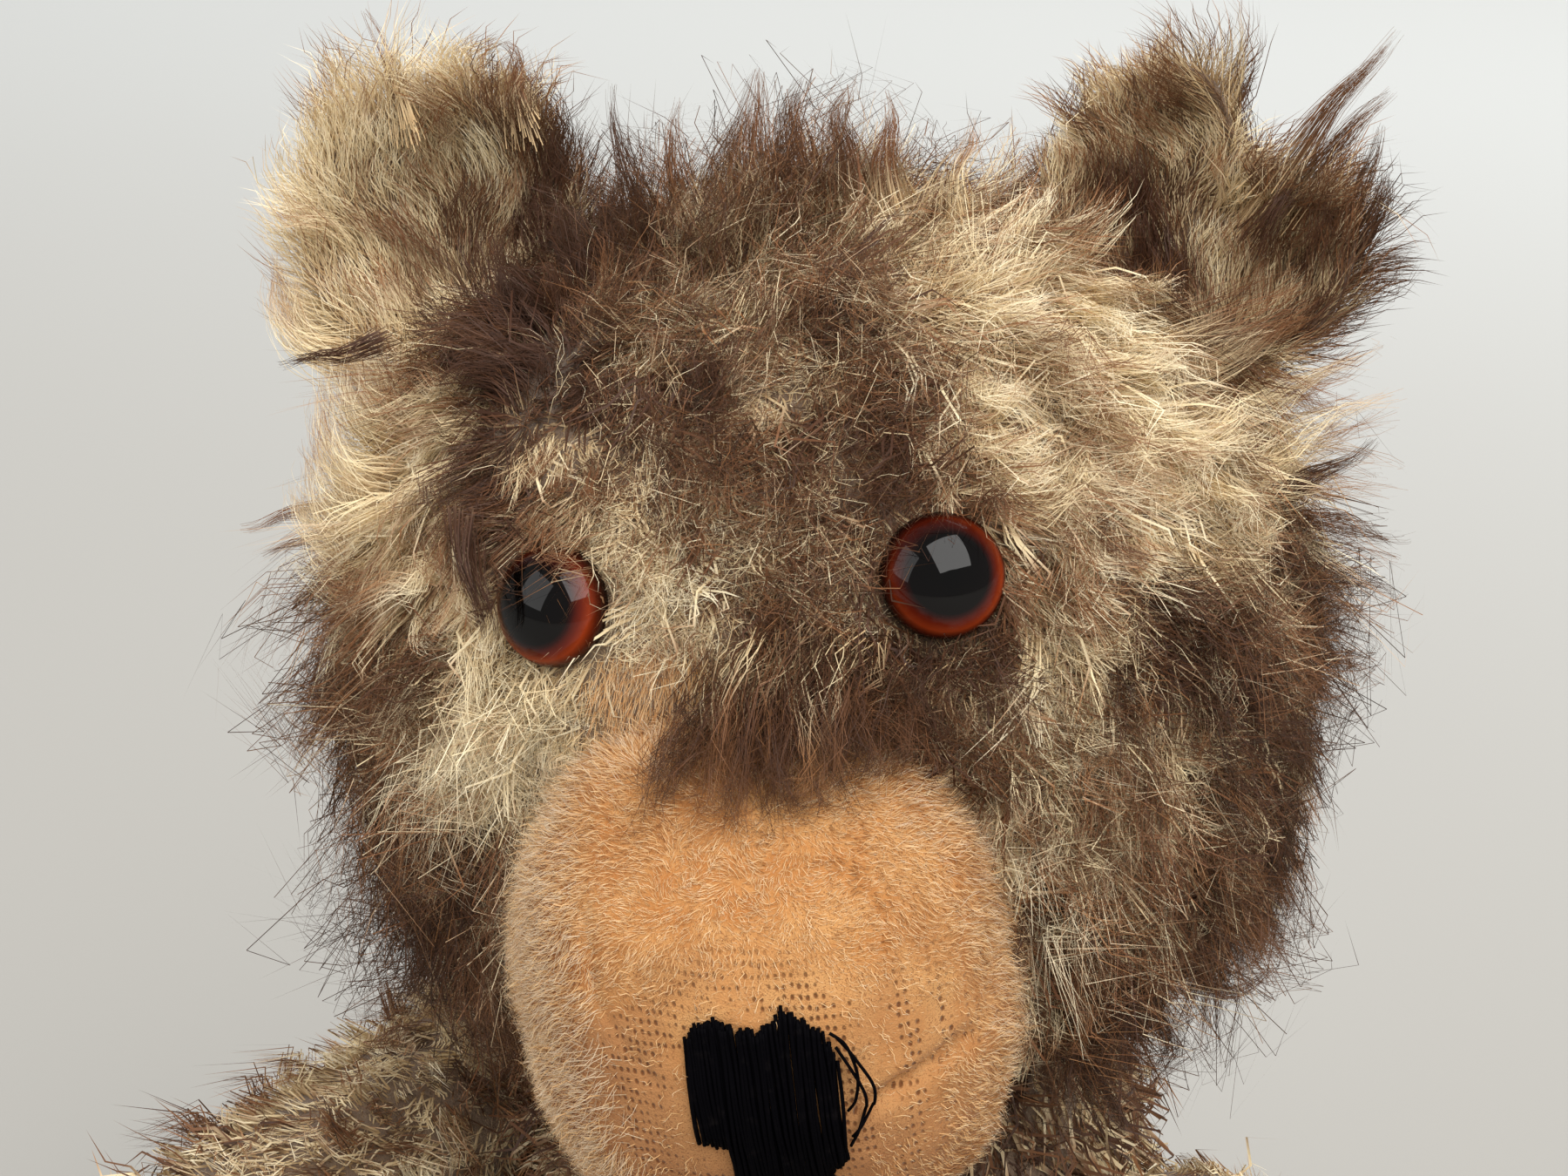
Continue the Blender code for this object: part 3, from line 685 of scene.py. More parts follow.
def makePileTree():
    # strands stand on the scalp, lean with the comb and gather into locks that curl together
    tree, given = newTree("pile", {
        "Strand": "object", "Density": 1.0, "Locks": 1.0, "Width": 0.2 * mm, "Taper": 0.6,
        "Gather": 0.7, "Wave": 0.1, "Turns": 1.0, "Frizz": 0.05, "Droop": 0.1,
        "Lock Turn": 0.5, "Own Turn": 0.4, "Lock Length": 0.3, "Lock Lift": 0.2,
        "Lock Size": 1.0 * mm, "Edge": 0.5,
        "Lock Tone": 0.15, "Own Tone": 0.1, "Seed": 1, "Finish": "material",
    })
    seed, thick = given.out("Seed"), named(tree, "thick")
    roots, locks = (
        makeNode(tree, "GeometryNodeDistributePointsOnFaces", {"distribute_method": "RANDOM"}, {
            "Mesh": given, "Density": density, "Seed": first,
        })
        for density, first in (
            (thick * given.out("Density"), seed),
            (clamped(thick * 4) * given.out("Locks"), seed + 7),
        )
    )
    here = makeNode(tree, "GeometryNodeInputPosition")
    nearest = makeNode(tree, "GeometryNodeSampleNearest", None, {0: locks, 1: here})
    hair = stored(roots, "away", roots.out("Normal"), "FLOAT_VECTOR")
    hair = stored(hair, "rootAt", here, "FLOAT_VECTOR")
    hair = stored(hair, "lockAt", sampled(locks, here, nearest), "FLOAT_VECTOR")
    lockOwn = sampled(locks, randomWay(tree, seed + 11), nearest)
    hair = stored(hair, "lockOwn", lockOwn, "FLOAT_VECTOR")
    hair = stored(hair, "lockTone", sampled(locks, named(tree, "tone"), nearest, "FLOAT"))
    hair = stored(hair, "own", randomWay(tree, seed + 23), "FLOAT_VECTOR")
    strand = makeNode(tree, "GeometryNodeObjectInfo", None, {0: given.out("Strand")}, 4)
    each = makeNode(tree, "GeometryNodeInstanceOnPoints", None, {
        "Points": hair, "Instance": strand,
    })
    real = makeNode(tree, "GeometryNodeRealizeInstances", None, {0: each})

    along, across = named(tree, "along"), named(tree, "across")
    away = vectorOf("NORMALIZE", vectorNamed(tree, "away"))
    comb = vectorNamed(tree, "comb")
    comb = vectorOf("NORMALIZE", comb - away * vectorOf("DOT_PRODUCT", comb, away))
    beside = vectorOf("NORMALIZE", vectorOf("CROSS_PRODUCT", away, comb))
    root, lockAt = vectorNamed(tree, "rootAt"), vectorNamed(tree, "lockAt")
    ownX, ownY, ownZ = parts(vectorNamed(tree, "own"))
    lockX, lockY, lockZ = parts(vectorNamed(tree, "lockOwn"))
    swing = lockX * given.out("Lock Turn") + ownY * given.out("Own Turn")
    comb, beside = (
        comb * mathOf("COSINE", swing) + beside * mathOf("SINE", swing),
        beside * mathOf("COSINE", swing) - comb * mathOf("SINE", swing),
    )
    lift = named(tree, "lift") * (1 + lockZ * given.out("Lock Lift"))
    lift = clamped(lift + ownX * strandSet["rise"], 0.02, 1.0)
    apart = vectorOf("LENGTH", lockAt - root) / given.out("Lock Size")
    shorter = 1 - smoothStep(apart, *strandSet["edge"]) * given.out("Edge")
    length = named(tree, "pileLength") * (1 + ownZ * strandSet["length"]) * shorter
    length = length * (1 + lockY * given.out("Lock Length"))

    # each strand bows from its first slope to its last one
    slope, straight, bow = strandSet["bow"]
    start = (1 - lift) * slope
    end = start + (straight - lift) * bow
    upStart, upEnd = mathOf("COSINE", start), mathOf("COSINE", end)
    outStart, outEnd = mathOf("SINE", start), mathOf("SINE", end)
    square = along * along
    up = upStart * along + (upEnd - upStart) * square * 0.5
    out = outStart * along + (outEnd - outStart) * square * 0.5
    place = root + (away * up + comb * out) * length
    drop = makeNode(tree, "ShaderNodeCombineXYZ", None, {"Z": square * length * given.out("Droop")})
    place = place - drop
    least = 1 - strandSet["gather"]
    pull = along ** strandSet["gatherPower"] * given.out("Gather")
    pull = pull * (least + ownZ * strandSet["gather"])
    place = place + (lockAt - root) * pull
    wave = given.out("Wave") * named(tree, "curl") * along
    for turns, size, phase in (
        (given.out("Turns") * (1 + lockY * 0.35), wave, lockX * math.pi),
        (given.out("Turns") * (1.9 + ownZ * 0.5), given.out("Frizz"), ownX * math.pi),
    ):
        angle = along * turns * (2 * math.pi) + phase
        sway = (mathOf("SINE", angle) - mathOf("SINE", phase)) * size * length
        bob = (mathOf("COSINE", angle) - mathOf("COSINE", phase)) * size * length
        place = place + beside * sway + (away * 0.55 + comb * 0.35) * bob
    tangent = away * (upStart + (upEnd - upStart) * along)
    tangent = vectorOf("NORMALIZE", tangent + comb * (outStart + (outEnd - outStart) * along))
    facing = vectorOf("CROSS_PRODUCT", tangent, beside)
    twist = ownY * strandSet["twist"]
    edge = beside * mathOf("COSINE", twist) + facing * mathOf("SINE", twist)
    half = given.out("Width") * 0.5 * (1 - given.out("Taper") * along)
    place = place + edge * (half * (1 + ownZ * strandSet["width"])) * across
    shaped = placedPoints(real, Position=place)

    tone = named(tree, "tone") * 0.3 + named(tree, "lockTone") * 0.7
    tone = tone + lockY * given.out("Lock Tone") + ownX * given.out("Own Tone")
    return tonedTree(tree, shaped, tone, along, across, given.out("Finish"))


def makeStrand(name, steps):
    # one flat strand with a pointed tip; "along" runs from root to tip
    verts = [(side, k / steps, 0) for k in range(steps) for side in (-1, 1)] + [(0, 1, 0)]
    faces = [(a, a + 2, a + 3, a + 1) for a in range(0, 2 * steps - 2, 2)]
    made = newObject(name, verts, faces + [(2 * steps - 2, 2 * steps, 2 * steps - 1)])
    storeField(made.data, "across", [v[0] for v in verts])
    storeField(made.data, "along", [v[1] for v in verts])
    return made


pileTree = makePileTree()
strands = {
    name: makeStrand(name + "Strand", steps)
    for name, steps in {"fine": 4, "plain": 3, "short": 1, "curly": 6}.items()
}
proud = {"share": 0.03, "more": 8, "above": 0.4}    # how far pile may stand out of the model's box


def growPile(name, scalp, field, pile, body, finish="mohair", strand="plain", slot="mohair"):
    # field holds a value for each point of the scalp, and pile the numbers of the tree
    copy = linked("scalp", scalp.data.copy())
    for label, values in field.items():
        storeField(copy.data, label, values)
    bare = np.asarray(field["thick"]) <= 0

    def cleared(bm):
        bm.verts.ensure_lookup_table()
        empty = [face for face in bm.faces if all(bare[v.index] for v in face.verts)]
        bmesh.ops.delete(bm, geom=empty, context="FACES")

    reworked(copy.data, cleared)
    values = {**pile, "Strand": strands[strand], "Finish": finishes[finish]}
    made = runTree(copy, pileTree, values, name, body, slot)
    low, high = np.array(cadLow), np.array(cadHigh)
    room = (high - low) * proud["share"] + proud["more"] * mm
    low -= room
    low[2] = proud["above"] * mm
    setPoints(made.data, np.clip(pointsOf(made.data), low, high + room))
    return made


def fieldOf(n, place, flow, tone, length, thick=1.0, lift=0.45, curl=1.0):
    # one value for each point of a skin with these normals; the strands lie along flow
    made = {"tone": tone, "pileLength": length * mm, "lift": lift, "curl": curl, "thick": thick}
    made = {label: np.full(len(n), value, float) for label, value in made.items()}
    made["comb"] = turnedWay(laidFlat(flow, n), place)
    return made


def changed(field, share=1.0, **changes):
    return {**field, "thick": field["thick"] * share, **changes}


# the head's skin and the muzzle's shape

skullSet = {"half": (51, 43, 45), "crown": 2.1, "jowl": 3.0, "neck": -38, "rows": 60}
muzzleSet = {
    "half": (23.8, 27), "reach": 64.5, "power": 2.4, "aside": -2.5, "seam": 31.5,
    # forwards, down, share of the width, share of the height
    "stations": [
        (18, 12, 0.85, 0.66), (29.5, 15.5, 0.95, 0.8), (35, 18.5, 0.99, 0.94), (42, 20.5, 1, 1),
    ],
    "creases": [
        {"line": [(8.8, -24.6), (12.8, -23.4), (18.2, -22.4)], "wide": 0.8, "deep": 0.45},
        {
            "line": [(-14.8, -5.5), (-14.6, -9.8), (-14.0, -13.4), (-9.9, -20.4)],
            "wide": 0.55, "deep": 0.28,
        },
    ],
}
eyeSet = {"across": 18.5, "up": 17, "radius": 6.0, "dome": 4.4, "rim": 0.8}


def skullSize(height):
    power = skullSet["crown"] if height > 0 else skullSet["jowl"]
    return max(0.0, 1 - abs(height) ** power) ** (1 / power)


def skullFront(x, z):
    half = skullSet["half"]
    row = skullSize(z / half[2])
    return -half[1] * math.sqrt(max(row ** 2 - (x / half[0]) ** 2, 0))


def muzzleRows(start, count, inset=0.0, segments=128):
    # from inside the skull to the front, where it rounds over like a thimble
    table = np.array(muzzleSet["stations"], float)
    bend, drop = table[-1, :2]
    reach = muzzleSet["reach"] - inset - bend
    forward = list(np.arange(start, bend, 0.75)) + [bend]
    lines = [[f] + [np.interp(f, table[:, 0], table[:, k]) for k in (1, 2, 3)] for f in forward]
    for degrees in np.linspace(4, 88.5, count):
        a = math.radians(degrees)
        size = math.cos(a) ** 0.85
        lines.append((bend + reach * math.sin(a), drop + math.sin(a), size, size))
    rows = []
    for forward, drop, wide, tall in lines:
        across = ((muzzleSet["half"][0] - inset) * wide, 0, 0)
        along = (0, 0, (muzzleSet["half"][1] - inset) * tall)
        centre = (muzzleSet["aside"], -forward, -drop)
        rows.append(ovalRow(centre, across, along, segments, muzzleSet["power"]))
    return rows


def makeHeadSkin():
    half, count = skullSet["half"], skullSet["rows"]
    rows = []
    for k in range(1, count):
        height = -math.cos(math.pi * k / count)
        wide, deep = half[0] * skullSize(height), half[1] * skullSize(height)
        rows.append(ovalRow((0, 0, height * half[2]), (wide, 0, 0), (0, deep, 0), 96))
    floor = lambda points: pressed(points, (0, 0, skullSet["neck"]), (0, 0, -1.0))
    skull = skinThrough("headSkin", rows, headPlace, "backing", floor)
    root = [row for row in muzzleRows(18, 2, 0.6) if -row[0, 1] <= muzzleSet["seam"]]
    root = skinThrough("root", root, headPlace, "backing")
    reworked(skull.data, lambda bm: bm.from_mesh(root.data))
    removed(root)
    return declared(remeshed(skull, 1.5), "head", "mohair", "head_cover", fill=0.9)


headSkin = makeHeadSkin()
headPoints, headNormals = inFrame(headSkin, headPlace)
print("head skin:", len(headPoints), "points")


# how the head's pile lies: across and up on the face, the way it flows, tone, length, lift, reach

headGuides = [
    # over the bear's right eye, deep brown and standing up
    (-25, 43, -0.4, 1.0, 1.2, 10, 0.4, 6), (-17, 43, -0.2, 1.0, 1.15, 10, 0.5, 5),
    (-29, 38, -0.4, 0.9, 1.1, 10, 0.3, 5), (-22, 38, -0.3, 0.8, 1.2, 10, 0.3, 5),
    (-15, 40.5, 0.6, -0.8, 0.2, 9, 0.35, 2.6), (-11, 38, 0.6, -0.8, 0.45, 9, 0.4, 3),
    (-6, 41, 0.6, -0.5, 0.58, 8, 0.5, 4), (0, 41, 0.4, -0.6, 0.58, 8, 0.5, 4),
    (6, 41, 0.5, -0.6, 0.58, 8, 0.5, 4), (-25, 33, -0.3, 0.6, 1.15, 9, 0.3, 4),
    (-17, 34.5, 0.7, -0.6, 1.0, 10, 0.35, 4), (-10, 33, 0.7, -0.7, 0.98, 10, 0.35, 4),
    (-20, 30, 0.5, -0.7, 0.25, 8, 0.3, 2.6), (-15, 29, 0.5, -0.8, 0.45, 9, 0.3, 3),
    (-5, 31, 0.6, -0.7, 0.75, 9, 0.35, 4), (1, 35, 0.8, -0.5, 0.32, 9, 0.35, 3.5),
    (3, 29, 0.5, -0.7, 0.62, 9, 0.4, 4), (9, 35, 0.6, -0.6, 0.66, 8, 0.45, 4),
    # the dark tones at 11 and 15.5 across, 29 up, are painted shade under the bear's left brow
    (11, 29, 0.3, -0.8, 0.8, 8, 0.45, 4), (15.5, 29, 0.2, -0.9, 1.0, 6, 0.4, 3),
    (15, 34.5, 0.5, -0.8, 0.8, 7, 0.35, 2.2), (-24, 26.5, -0.2, -0.9, 0.97, 8, 0.35, 3.5),
    (-18, 26, 0.0, -1.0, 0.75, 8, 0.4, 3), (-24.5, 19.5, 0.2, -0.8, 1.0, 4, 0.35, 2.2),
    # the bridge of the nose
    (-12, 26, 0.2, -0.9, 0.25, 8, 0.35, 3.5), (-10, 21, 0.2, -0.9, 0.05, 7, 0.35, 3.5),
    (-5, 19, 0.2, -0.9, 0.1, 8, 0.35, 3.5), (-4, 25, 0.4, -0.8, 0.38, 8, 0.35, 3.5),
    (1, 23, 0.3, -0.8, 0.5, 8, 0.4, 3.5), (7, 24, 0.2, -0.9, 0.76, 8, 0.45, 4),
    (9, 19, 0.1, -1.0, 0.8, 8, 0.45, 3.5), (2, 17, -0.1, -1.0, 0.62, 8, 0.4, 3.5),
    (-3, 13, 0.3, -0.9, 0.25, 8, 0.35, 3), (3, 12, -0.7, -0.7, 1.0, 7, 0.5, 4),
    (8, 11, 0.6, -0.7, 0.95, 7, 0.5, 4), (11, 15.5, -0.2, -1.0, 0.3, 7, 0.3, 2),
    (14, 9, -0.5, -0.8, 0.8, 7, 0.45, 3.5), (4, 5, -0.9, -0.4, 0.95, 6, 0.5, 4),
    (13, 4, 0.8, -0.4, 0.85, 6, 0.5, 4), (20, 4, 0.0, -1.0, 0.5, 8, 0.35, 3.5),
    # the bear's right cheek, pale beside the eye and dark at its edge
    (-31, 31, -0.1, -1.0, 0.0, 9, 0.3, 4.5), (-36, 27, -0.3, -0.9, 0.0, 9, 0.35, 4),
    (-29, 25, -0.2, -1.0, 0.28, 8, 0.35, 3), (-41, 31, -0.3, 0.9, 0.1, 9, 0.4, 5),
    (-42, 24, -0.4, -0.9, 0.15, 9, 0.4, 4), (-36, 20, -0.5, -0.8, 0.4, 9, 0.4, 4),
    (-30, 19, -0.4, -0.9, 0.35, 8, 0.35, 3), (-42, 15, -0.8, -0.5, 0.5, 10, 0.5, 4),
    (-33, 14, -0.5, -0.8, 0.5, 9, 0.35, 3.5), (-26, 14, -0.3, -1.0, 0.1, 9, 0.3, 3),
    (-20, 9, 0.0, -1.0, -0.1, 9, 0.25, 4.5), (-14, 12, 0.2, -1.0, -0.05, 7, 0.25, 3.5),
    (-25, 7, -0.5, -0.9, 0.05, 11, 0.3, 3.5), (-20, 2, 0.0, -1.0, 0.03, 7, 0.25, 3.5),
    (-9, 14.5, 0.3, -0.9, 0.04, 4, 0.25, 3), (-9, 11, 0.3, -0.9, 0.02, 2.5, 0.2, 3.2),
    (-5, 8, 0.3, -0.9, 0.1, 4, 0.25, 3), (-40, 9, -0.6, -0.8, 0.78, 8, 0.4, 3),
    (-34, 8, -0.7, -0.7, 0.5, 9, 0.35, 3), (-47, 9, -0.9, -0.3, 0.65, 10, 0.5, 5),
    (-37, 2, -0.9, -0.4, 0.36, 10, 0.35, 3.5), (-43, -1, -0.9, -0.4, 0.75, 10, 0.35, 3.5),
    (-30, 2, -0.8, -0.6, 0.15, 10, 0.3, 3), (-35, -4, -0.9, -0.5, 0.68, 9, 0.3, 3),
    (-49, 0, -0.8, -0.5, 0.88, 11, 0.5, 4.5), (-48, -9, -0.7, -0.7, 0.9, 11.5, 0.5, 5),
    (-41, -8, -0.6, -0.8, 0.85, 9, 0.4, 4), (-32, -9, -0.3, -1.0, 0.85, 9, 0.35, 4),
    (-27, -6, -0.1, -1.0, 0.5, 8, 0.3, 3), (-42, -16, -0.7, -0.7, 0.9, 12, 0.5, 5),
    # the grey-brown tone at 29 across on the bear's right, 18 down, is painted shade beside the
    # muzzle
    (-35, -17, -0.3, -1.0, 0.85, 9, 0.35, 5), (-29, -18, 0.0, -1.0, 0.6, 8, 0.3, 4),
    (-40, -26, -0.8, -0.6, 1.0, 12, 0.5, 5), (-33, -28, -0.3, -1.0, 0.78, 9, 0.35, 5),
    # over the bear's left eye, long pale locks lying down to the side
    (15, 40, 0.7, -0.7, 0.02, 13, 0.2, 3), (20, 35.5, 0.7, -0.7, 0.02, 13, 0.2, 3),
    (25, 30.5, 0.7, -0.7, 0.03, 12, 0.2, 3), (21, 41, 0.5, -0.5, 0.22, 10, 0.35, 4),
    (27, 37, 0.6, -0.7, 0.1, 12, 0.25, 4), (33, 33, 0.5, -0.8, 0.05, 12, 0.25, 4),
    (31, 26, 0.3, -0.9, 0.03, 11, 0.25, 4), (36, 28, 0.3, -0.9, 0.0, 10, 0.3, 3.5),
    (20, 29.5, 0.7, -0.3, 0.28, 8, 0.35, 3), (25, 25, 0.3, -0.8, 0.15, 9, 0.3, 3),
    (40, 23, 0.4, -0.8, 0.0, 9, 0.35, 3.5), (20.5, 25, 0.2, -0.6, 0.65, 7, 0.4, 2.5),
    (45, 27, 0.7, -0.2, 0.35, 9, 0.45, 4), (47, 19, 0.8, -0.2, 0.12, 10, 0.45, 4),
    # the bear's left cheek
    (36, 18, 0.2, -1.0, 0.3, 8, 0.35, 2.6), (31, 15, 0.1, -1.0, 0.2, 9, 0.3, 3.5),
    (26, 17, 0.1, -1.0, 0.6, 8, 0.3, 2.2), (41, 15, 0.5, -0.7, 0.15, 10, 0.35, 3),
    (26, 9, 0.0, -1.0, 0.28, 9, 0.3, 3.5), (32, 6, 0.1, -1.0, 0.35, 9, 0.3, 3),
    (37, 9.5, 0.3, -0.9, 0.75, 9, 0.4, 2.6), (43, 9, 0.5, -0.8, 0.48, 9, 0.4, 3),
    (48, 8, 0.6, -0.7, 0.82, 9, 0.4, 3), (38, 3, 0.2, -1.0, 0.55, 9, 0.35, 3.5),
    (21, 8, 0.0, -1.0, 0.75, 8, 0.35, 2.5), (45, 1, 0.2, -1.0, 0.66, 8, 0.3, 4),
    (27, 0, 0.0, -1.0, 0.3, 9, 0.3, 3), (33, -1, 0.1, -1.0, 0.36, 9, 0.3, 3),
    (40, -4, 0.1, -1.0, 0.62, 9, 0.3, 4), (48, -7, 0.1, -1.0, 0.75, 7, 0.25, 4.5),
    (23, -5, 0.0, -1.0, 0.3, 9, 0.25, 2.5), (30, -8, 0.05, -1.0, 0.06, 12, 0.25, 2.6),
    (36, -8, 0.1, -1.0, 0.45, 10, 0.3, 3), (42, -11, 0.1, -1.0, 0.62, 10, 0.3, 4),
    # the brown column at 26 across, 12 down, is painted shade beside the muzzle
    (26, -12, 0.0, -1.0, 0.55, 10, 0.25, 2.5), (30, -15, 0.0, -1.0, 0.08, 13, 0.25, 2.8),
    (25, -19, -0.1, -1.0, 0.88, 9, 0.3, 3), (36, -16, 0.1, -1.0, 0.62, 10, 0.3, 3),
    (46, -16, 0.2, -1.0, 0.78, 8, 0.25, 4), (31, -22, 0.1, -1.0, 0.42, 11, 0.3, 3.5),
    (40, -20, 0.3, -0.9, 0.68, 10, 0.4, 4), (27, -27, 0.0, -1.0, 0.82, 11, 0.3, 4),
    (35, -26, 0.2, -1.0, 0.65, 10, 0.4, 4), (42, -27, 0.2, -1.0, 0.85, 10, 0.35, 4),
]
crownGuides = [
    # the same on top of the head: across and back, then the way it flows across and back
    (-26, -14, -0.2, 0.3, 1.12, 12, 0.8, 7), (-14, -14, 0.0, 0.3, 0.98, 12, 0.85, 6),
    (-5, -16, 0.0, 0.2, 0.66, 12, 0.9, 6), (4, -16, 0.1, 0.2, 0.7, 12, 0.9, 6),
    (10, -18, 0.2, 0.1, 0.85, 9, 0.7, 4), (0, 0, 0.1, 0.3, 0.66, 12, 0.95, 8),
    (-18, 0, -0.1, 0.3, 0.85, 8, 0.6, 5), (13, -6, 0.2, 0.2, 0.6, 11, 0.9, 5),
    (20, -12, 0.3, 0.1, 0.25, 10, 0.75, 6), (28, -8, 0.4, 0.0, 0.2, 9, 0.6, 6),
    (22, 2, 0.3, 0.3, 0.35, 11, 0.75, 6), (10, 12, 0.2, 0.5, 0.6, 10, 0.7, 8),
    (-12, 14, -0.2, 0.5, 0.7, 10, 0.7, 8),
]


def guided(p, n, place, guides, plain, seed, flat=False):
    # each point takes after the guides near it, and after the plain columns away from them
    columns, weight = plain * 0.2, np.full(len(p), 0.2)
    for at, way, values, reach in guides:
        apart = p - np.array(at)
        if flat:
            apart[:, 1] = 0
        near = np.exp(-(np.linalg.norm(apart, axis=1) / reach) ** 2) * 2.5
        columns += near[:, None] * np.array((*way, *values))
        weight += near
    columns /= weight[:, None]
    flow, swirl = columns[:, :3], softNoise(p, 8, seed + 5) * 0.9
    flow = flow * np.cos(swirl)[:, None] + np.cross(n, flow) * np.sin(swirl)[:, None]
    return fieldOf(
        n, place, flow, 0.49 + (columns[:, 3] - 0.5) * 1.02 + softNoise(p, 3.2, seed + 7) * 0.34,
        columns[:, 4] * (1 + 0.4 * softNoise(p, 5, seed + 8)),
        lift=columns[:, 5] + 0.16 * softNoise(p, 6, seed + 3),
        curl=1 + 0.5 * softNoise(p, 12, seed + 4),
    )


# where no pile grows: under the muzzle, round the eyes, on the neck, at the worn corner of one
# eye and, on the muzzle, under the stitched nose
bareSet = {
    "muzzle": {"half": (23.4, 26.6), "down": 20.5, "power": 2.4, "ahead": -22},
    "eye": 5.3, "neck": -37.2,
    "corner": {"half": (6.5, 5.5), "middle": (-9.5, 8), "ahead": -25},
    "nose": {"half": 7.5, "middle": 1, "between": (-33, -15), "ahead": -50},
}


def headFields():
    p, n, total = headPoints, headNormals, len(headPoints)
    half, power = skullSet["half"], skullSet["crown"]
    guides = []
    for x, z, wayX, wayZ, *looks, reach in headGuides:
        guides.append(((x, skullFront(x, z), z), (wayX, -0.1, wayZ), looks, reach))
    for x, y, wayX, wayY, *looks, reach in crownGuides:
        row = math.hypot(x / half[0], y / half[1])
        z = half[2] * (1 - row ** power) ** (1 / power)
        guides.append(((x, y, z), (wayX, wayY, 0.0), looks, reach))
    base = 0.45 + 0.45 * softNoise(p, 15, 1) + 0.25 * softNoise(p, 6, 2)
    back = np.where(p[:, 2] > 25, np.where(p[:, 1] < 0, -0.6, 0.6), 0.0)
    jowl = ramped(p[:, 0], 22, 40) * ramped(-p[:, 2], -14, -2)
    plain = np.stack([
        p[:, 0] * 0.012 * (1 - jowl), back, np.full(total, -0.8), base + 0.2 * jowl,
        9.0 - 1.6 * jowl, 0.45 - 0.2 * jowl,
    ], 1)
    made = guided(p, n, headPlace, guides, plain, 0)
    bare = bareSet["muzzle"]
    across = (p[:, 0] - muzzleSet["aside"]) / bare["half"][0]
    upper = (p[:, 2] + bare["down"]) / bare["half"][1]
    inside = np.abs(across) ** bare["power"] + np.abs(upper) ** bare["power"] < 1
    inside &= p[:, 1] < bare["ahead"]
    x, z = eyeSet["across"], eyeSet["up"]
    for side in (1, -1):
        inside |= np.linalg.norm(p - (side * x, skullFront(x, z), z), axis=1) < bareSet["eye"]
    made["thick"][inside | (p[:, 2] < bareSet["neck"]) | corner] = 0
    made["curl"] = made["curl"] * (1 - 0.55 * ramped(p[:, 2], 34, 44))
    return made


bare = bareSet["corner"]
corner = np.hypot(*((headPoints[:, (0, 2)] - bare["middle"]) / bare["half"]).T) < 1
corner &= headPoints[:, 1] < bare["ahead"]
headField = headFields()
storeField(headSkin.data, "tone", headField["tone"])
pileSet = {
    "Density": 9.1e6, "Locks": 0.085e6, "Width": 0.1 * mm, "Taper": 0.5, "Gather": 0.76,
    "Wave": 0.3, "Turns": 1.15, "Frizz": 0.06, "Droop": 0.1, "Lock Tone": 0.3,
    "Own Tone": 0.3, "Lock Turn": 0.95, "Own Turn": 0.32, "Lock Length": 0.42, "Lock Lift": 0.75,
    "Lock Size": 0.9 * mm, "Edge": 0.62,
}
silky = {"Own Turn": 0.25, "Frizz": 0.045, "Lock Tone": 0.16, "Own Tone": 0.2}
wild = {
    "Density": 6.0e6, "Own Turn": 1.2, "Lock Turn": 1.5, "Frizz": 0.13, "Gather": 0.42,
    "Wave": 0.36, "Turns": 1.5,
}
tousled = {
    "Density": 5.9e6, "Width": 0.115 * mm, "Own Turn": 0.55, "Frizz": 0.12, "Gather": 0.72,
    "Wave": 0.42, "Turns": 1.7, "Lock Tone": 0.4,
}
faceSet = {
    "way": (0.2, -0.9, 0.38), "from": -0.05, "columns": (-15, 19), "brow": 14,
    # each patch: its column, whether it is over the brow line, its strand and how its pile differs
    "patches": {
        "BrowRight": (0, True, "fine", silky), "BrowMiddle": (1, True, "curly", wild),
        "BrowLeft": (2, True, "fine", {"Own Turn": 0.4}),
        "CheekRight": (0, False, "curly", {**tousled, "Lock Tone": 0.22}),
        "CheekMiddle": (1, False, "curly", wild), "CheekLeft": (2, False, "curly", tousled),
    },
    "under": {
        "Density": 1.0e6, "Width": 0.27 * mm, "Own Tone": 0.1, "Frizz": 0.06, "Lock Length": 0.2,
        "Seed": 9,
    },
    "back": {"Density": 1.55e6, "Width": 0.32 * mm, "Wave": 0.38, "Frizz": 0.1, "Seed": 10},
    "strays": {
        "Density": 0.4e6, "Width": 0.052 * mm, "Gather": 0.1, "Wave": 0.34, "Frizz": 0.12,
        "Own Turn": 1.6, "Own Tone": 0.7, "Droop": 0.0, "Turns": 0.8, "Lock Lift": 0.1, "Seed": 11,
    },
}


def growHeadPile():
    # fine pile where the face looks ahead, coarser behind it
    facing = headNormals @ faceSet["way"]
    front = facing > faceSet["from"]
    thickness = 0.45 + 0.55 * ramped(facing, 0.0, 0.55)
    across = np.digitize(headPoints[:, 0], faceSet["columns"])
    upper = headPoints[:, 2] > faceSet["brow"]
    tone, length, lift = headField["tone"], headField["pileLength"], headField["lift"]
    for index, (label, patch) in enumerate(faceSet["patches"].items()):
        column, high, strand, habit = patch
        field = changed(headField, (front & (across == column) & (upper == high)) * thickness)
        pile = {**pileSet, "Seed": 1 + index, **habit}
        growPile("headPile" + label, headSkin, field, pile, "head", strand=strand)
    # the under pile's tone is spread apart, darker in dark zones, partly as painted shade in the
    # gaps between locks
    field = changed(headField, front, tone=tone * 1.3 - 0.1, lift=lift * 0.4)
    growPile("headUnderPile", headSkin, field, {**pileSet, **faceSet["under"]}, "head")
    field = changed(headField, ~front)
    growPile("headPileBack", headSkin, field, {**pileSet, **faceSet["back"]}, "head")
    field = changed(
        headField, np.where(front, 1.0, 0.3), lift=lift + 0.08, pileLength=length * 0.66,
        tone=tone * 0.75,
    )
    strays = {**pileSet, **faceSet["strays"]}
    growPile("headStrays", headSkin, field, strays, "head", strand="curly")


growHeadPile()


# the muzzle: short pile, rubbed down

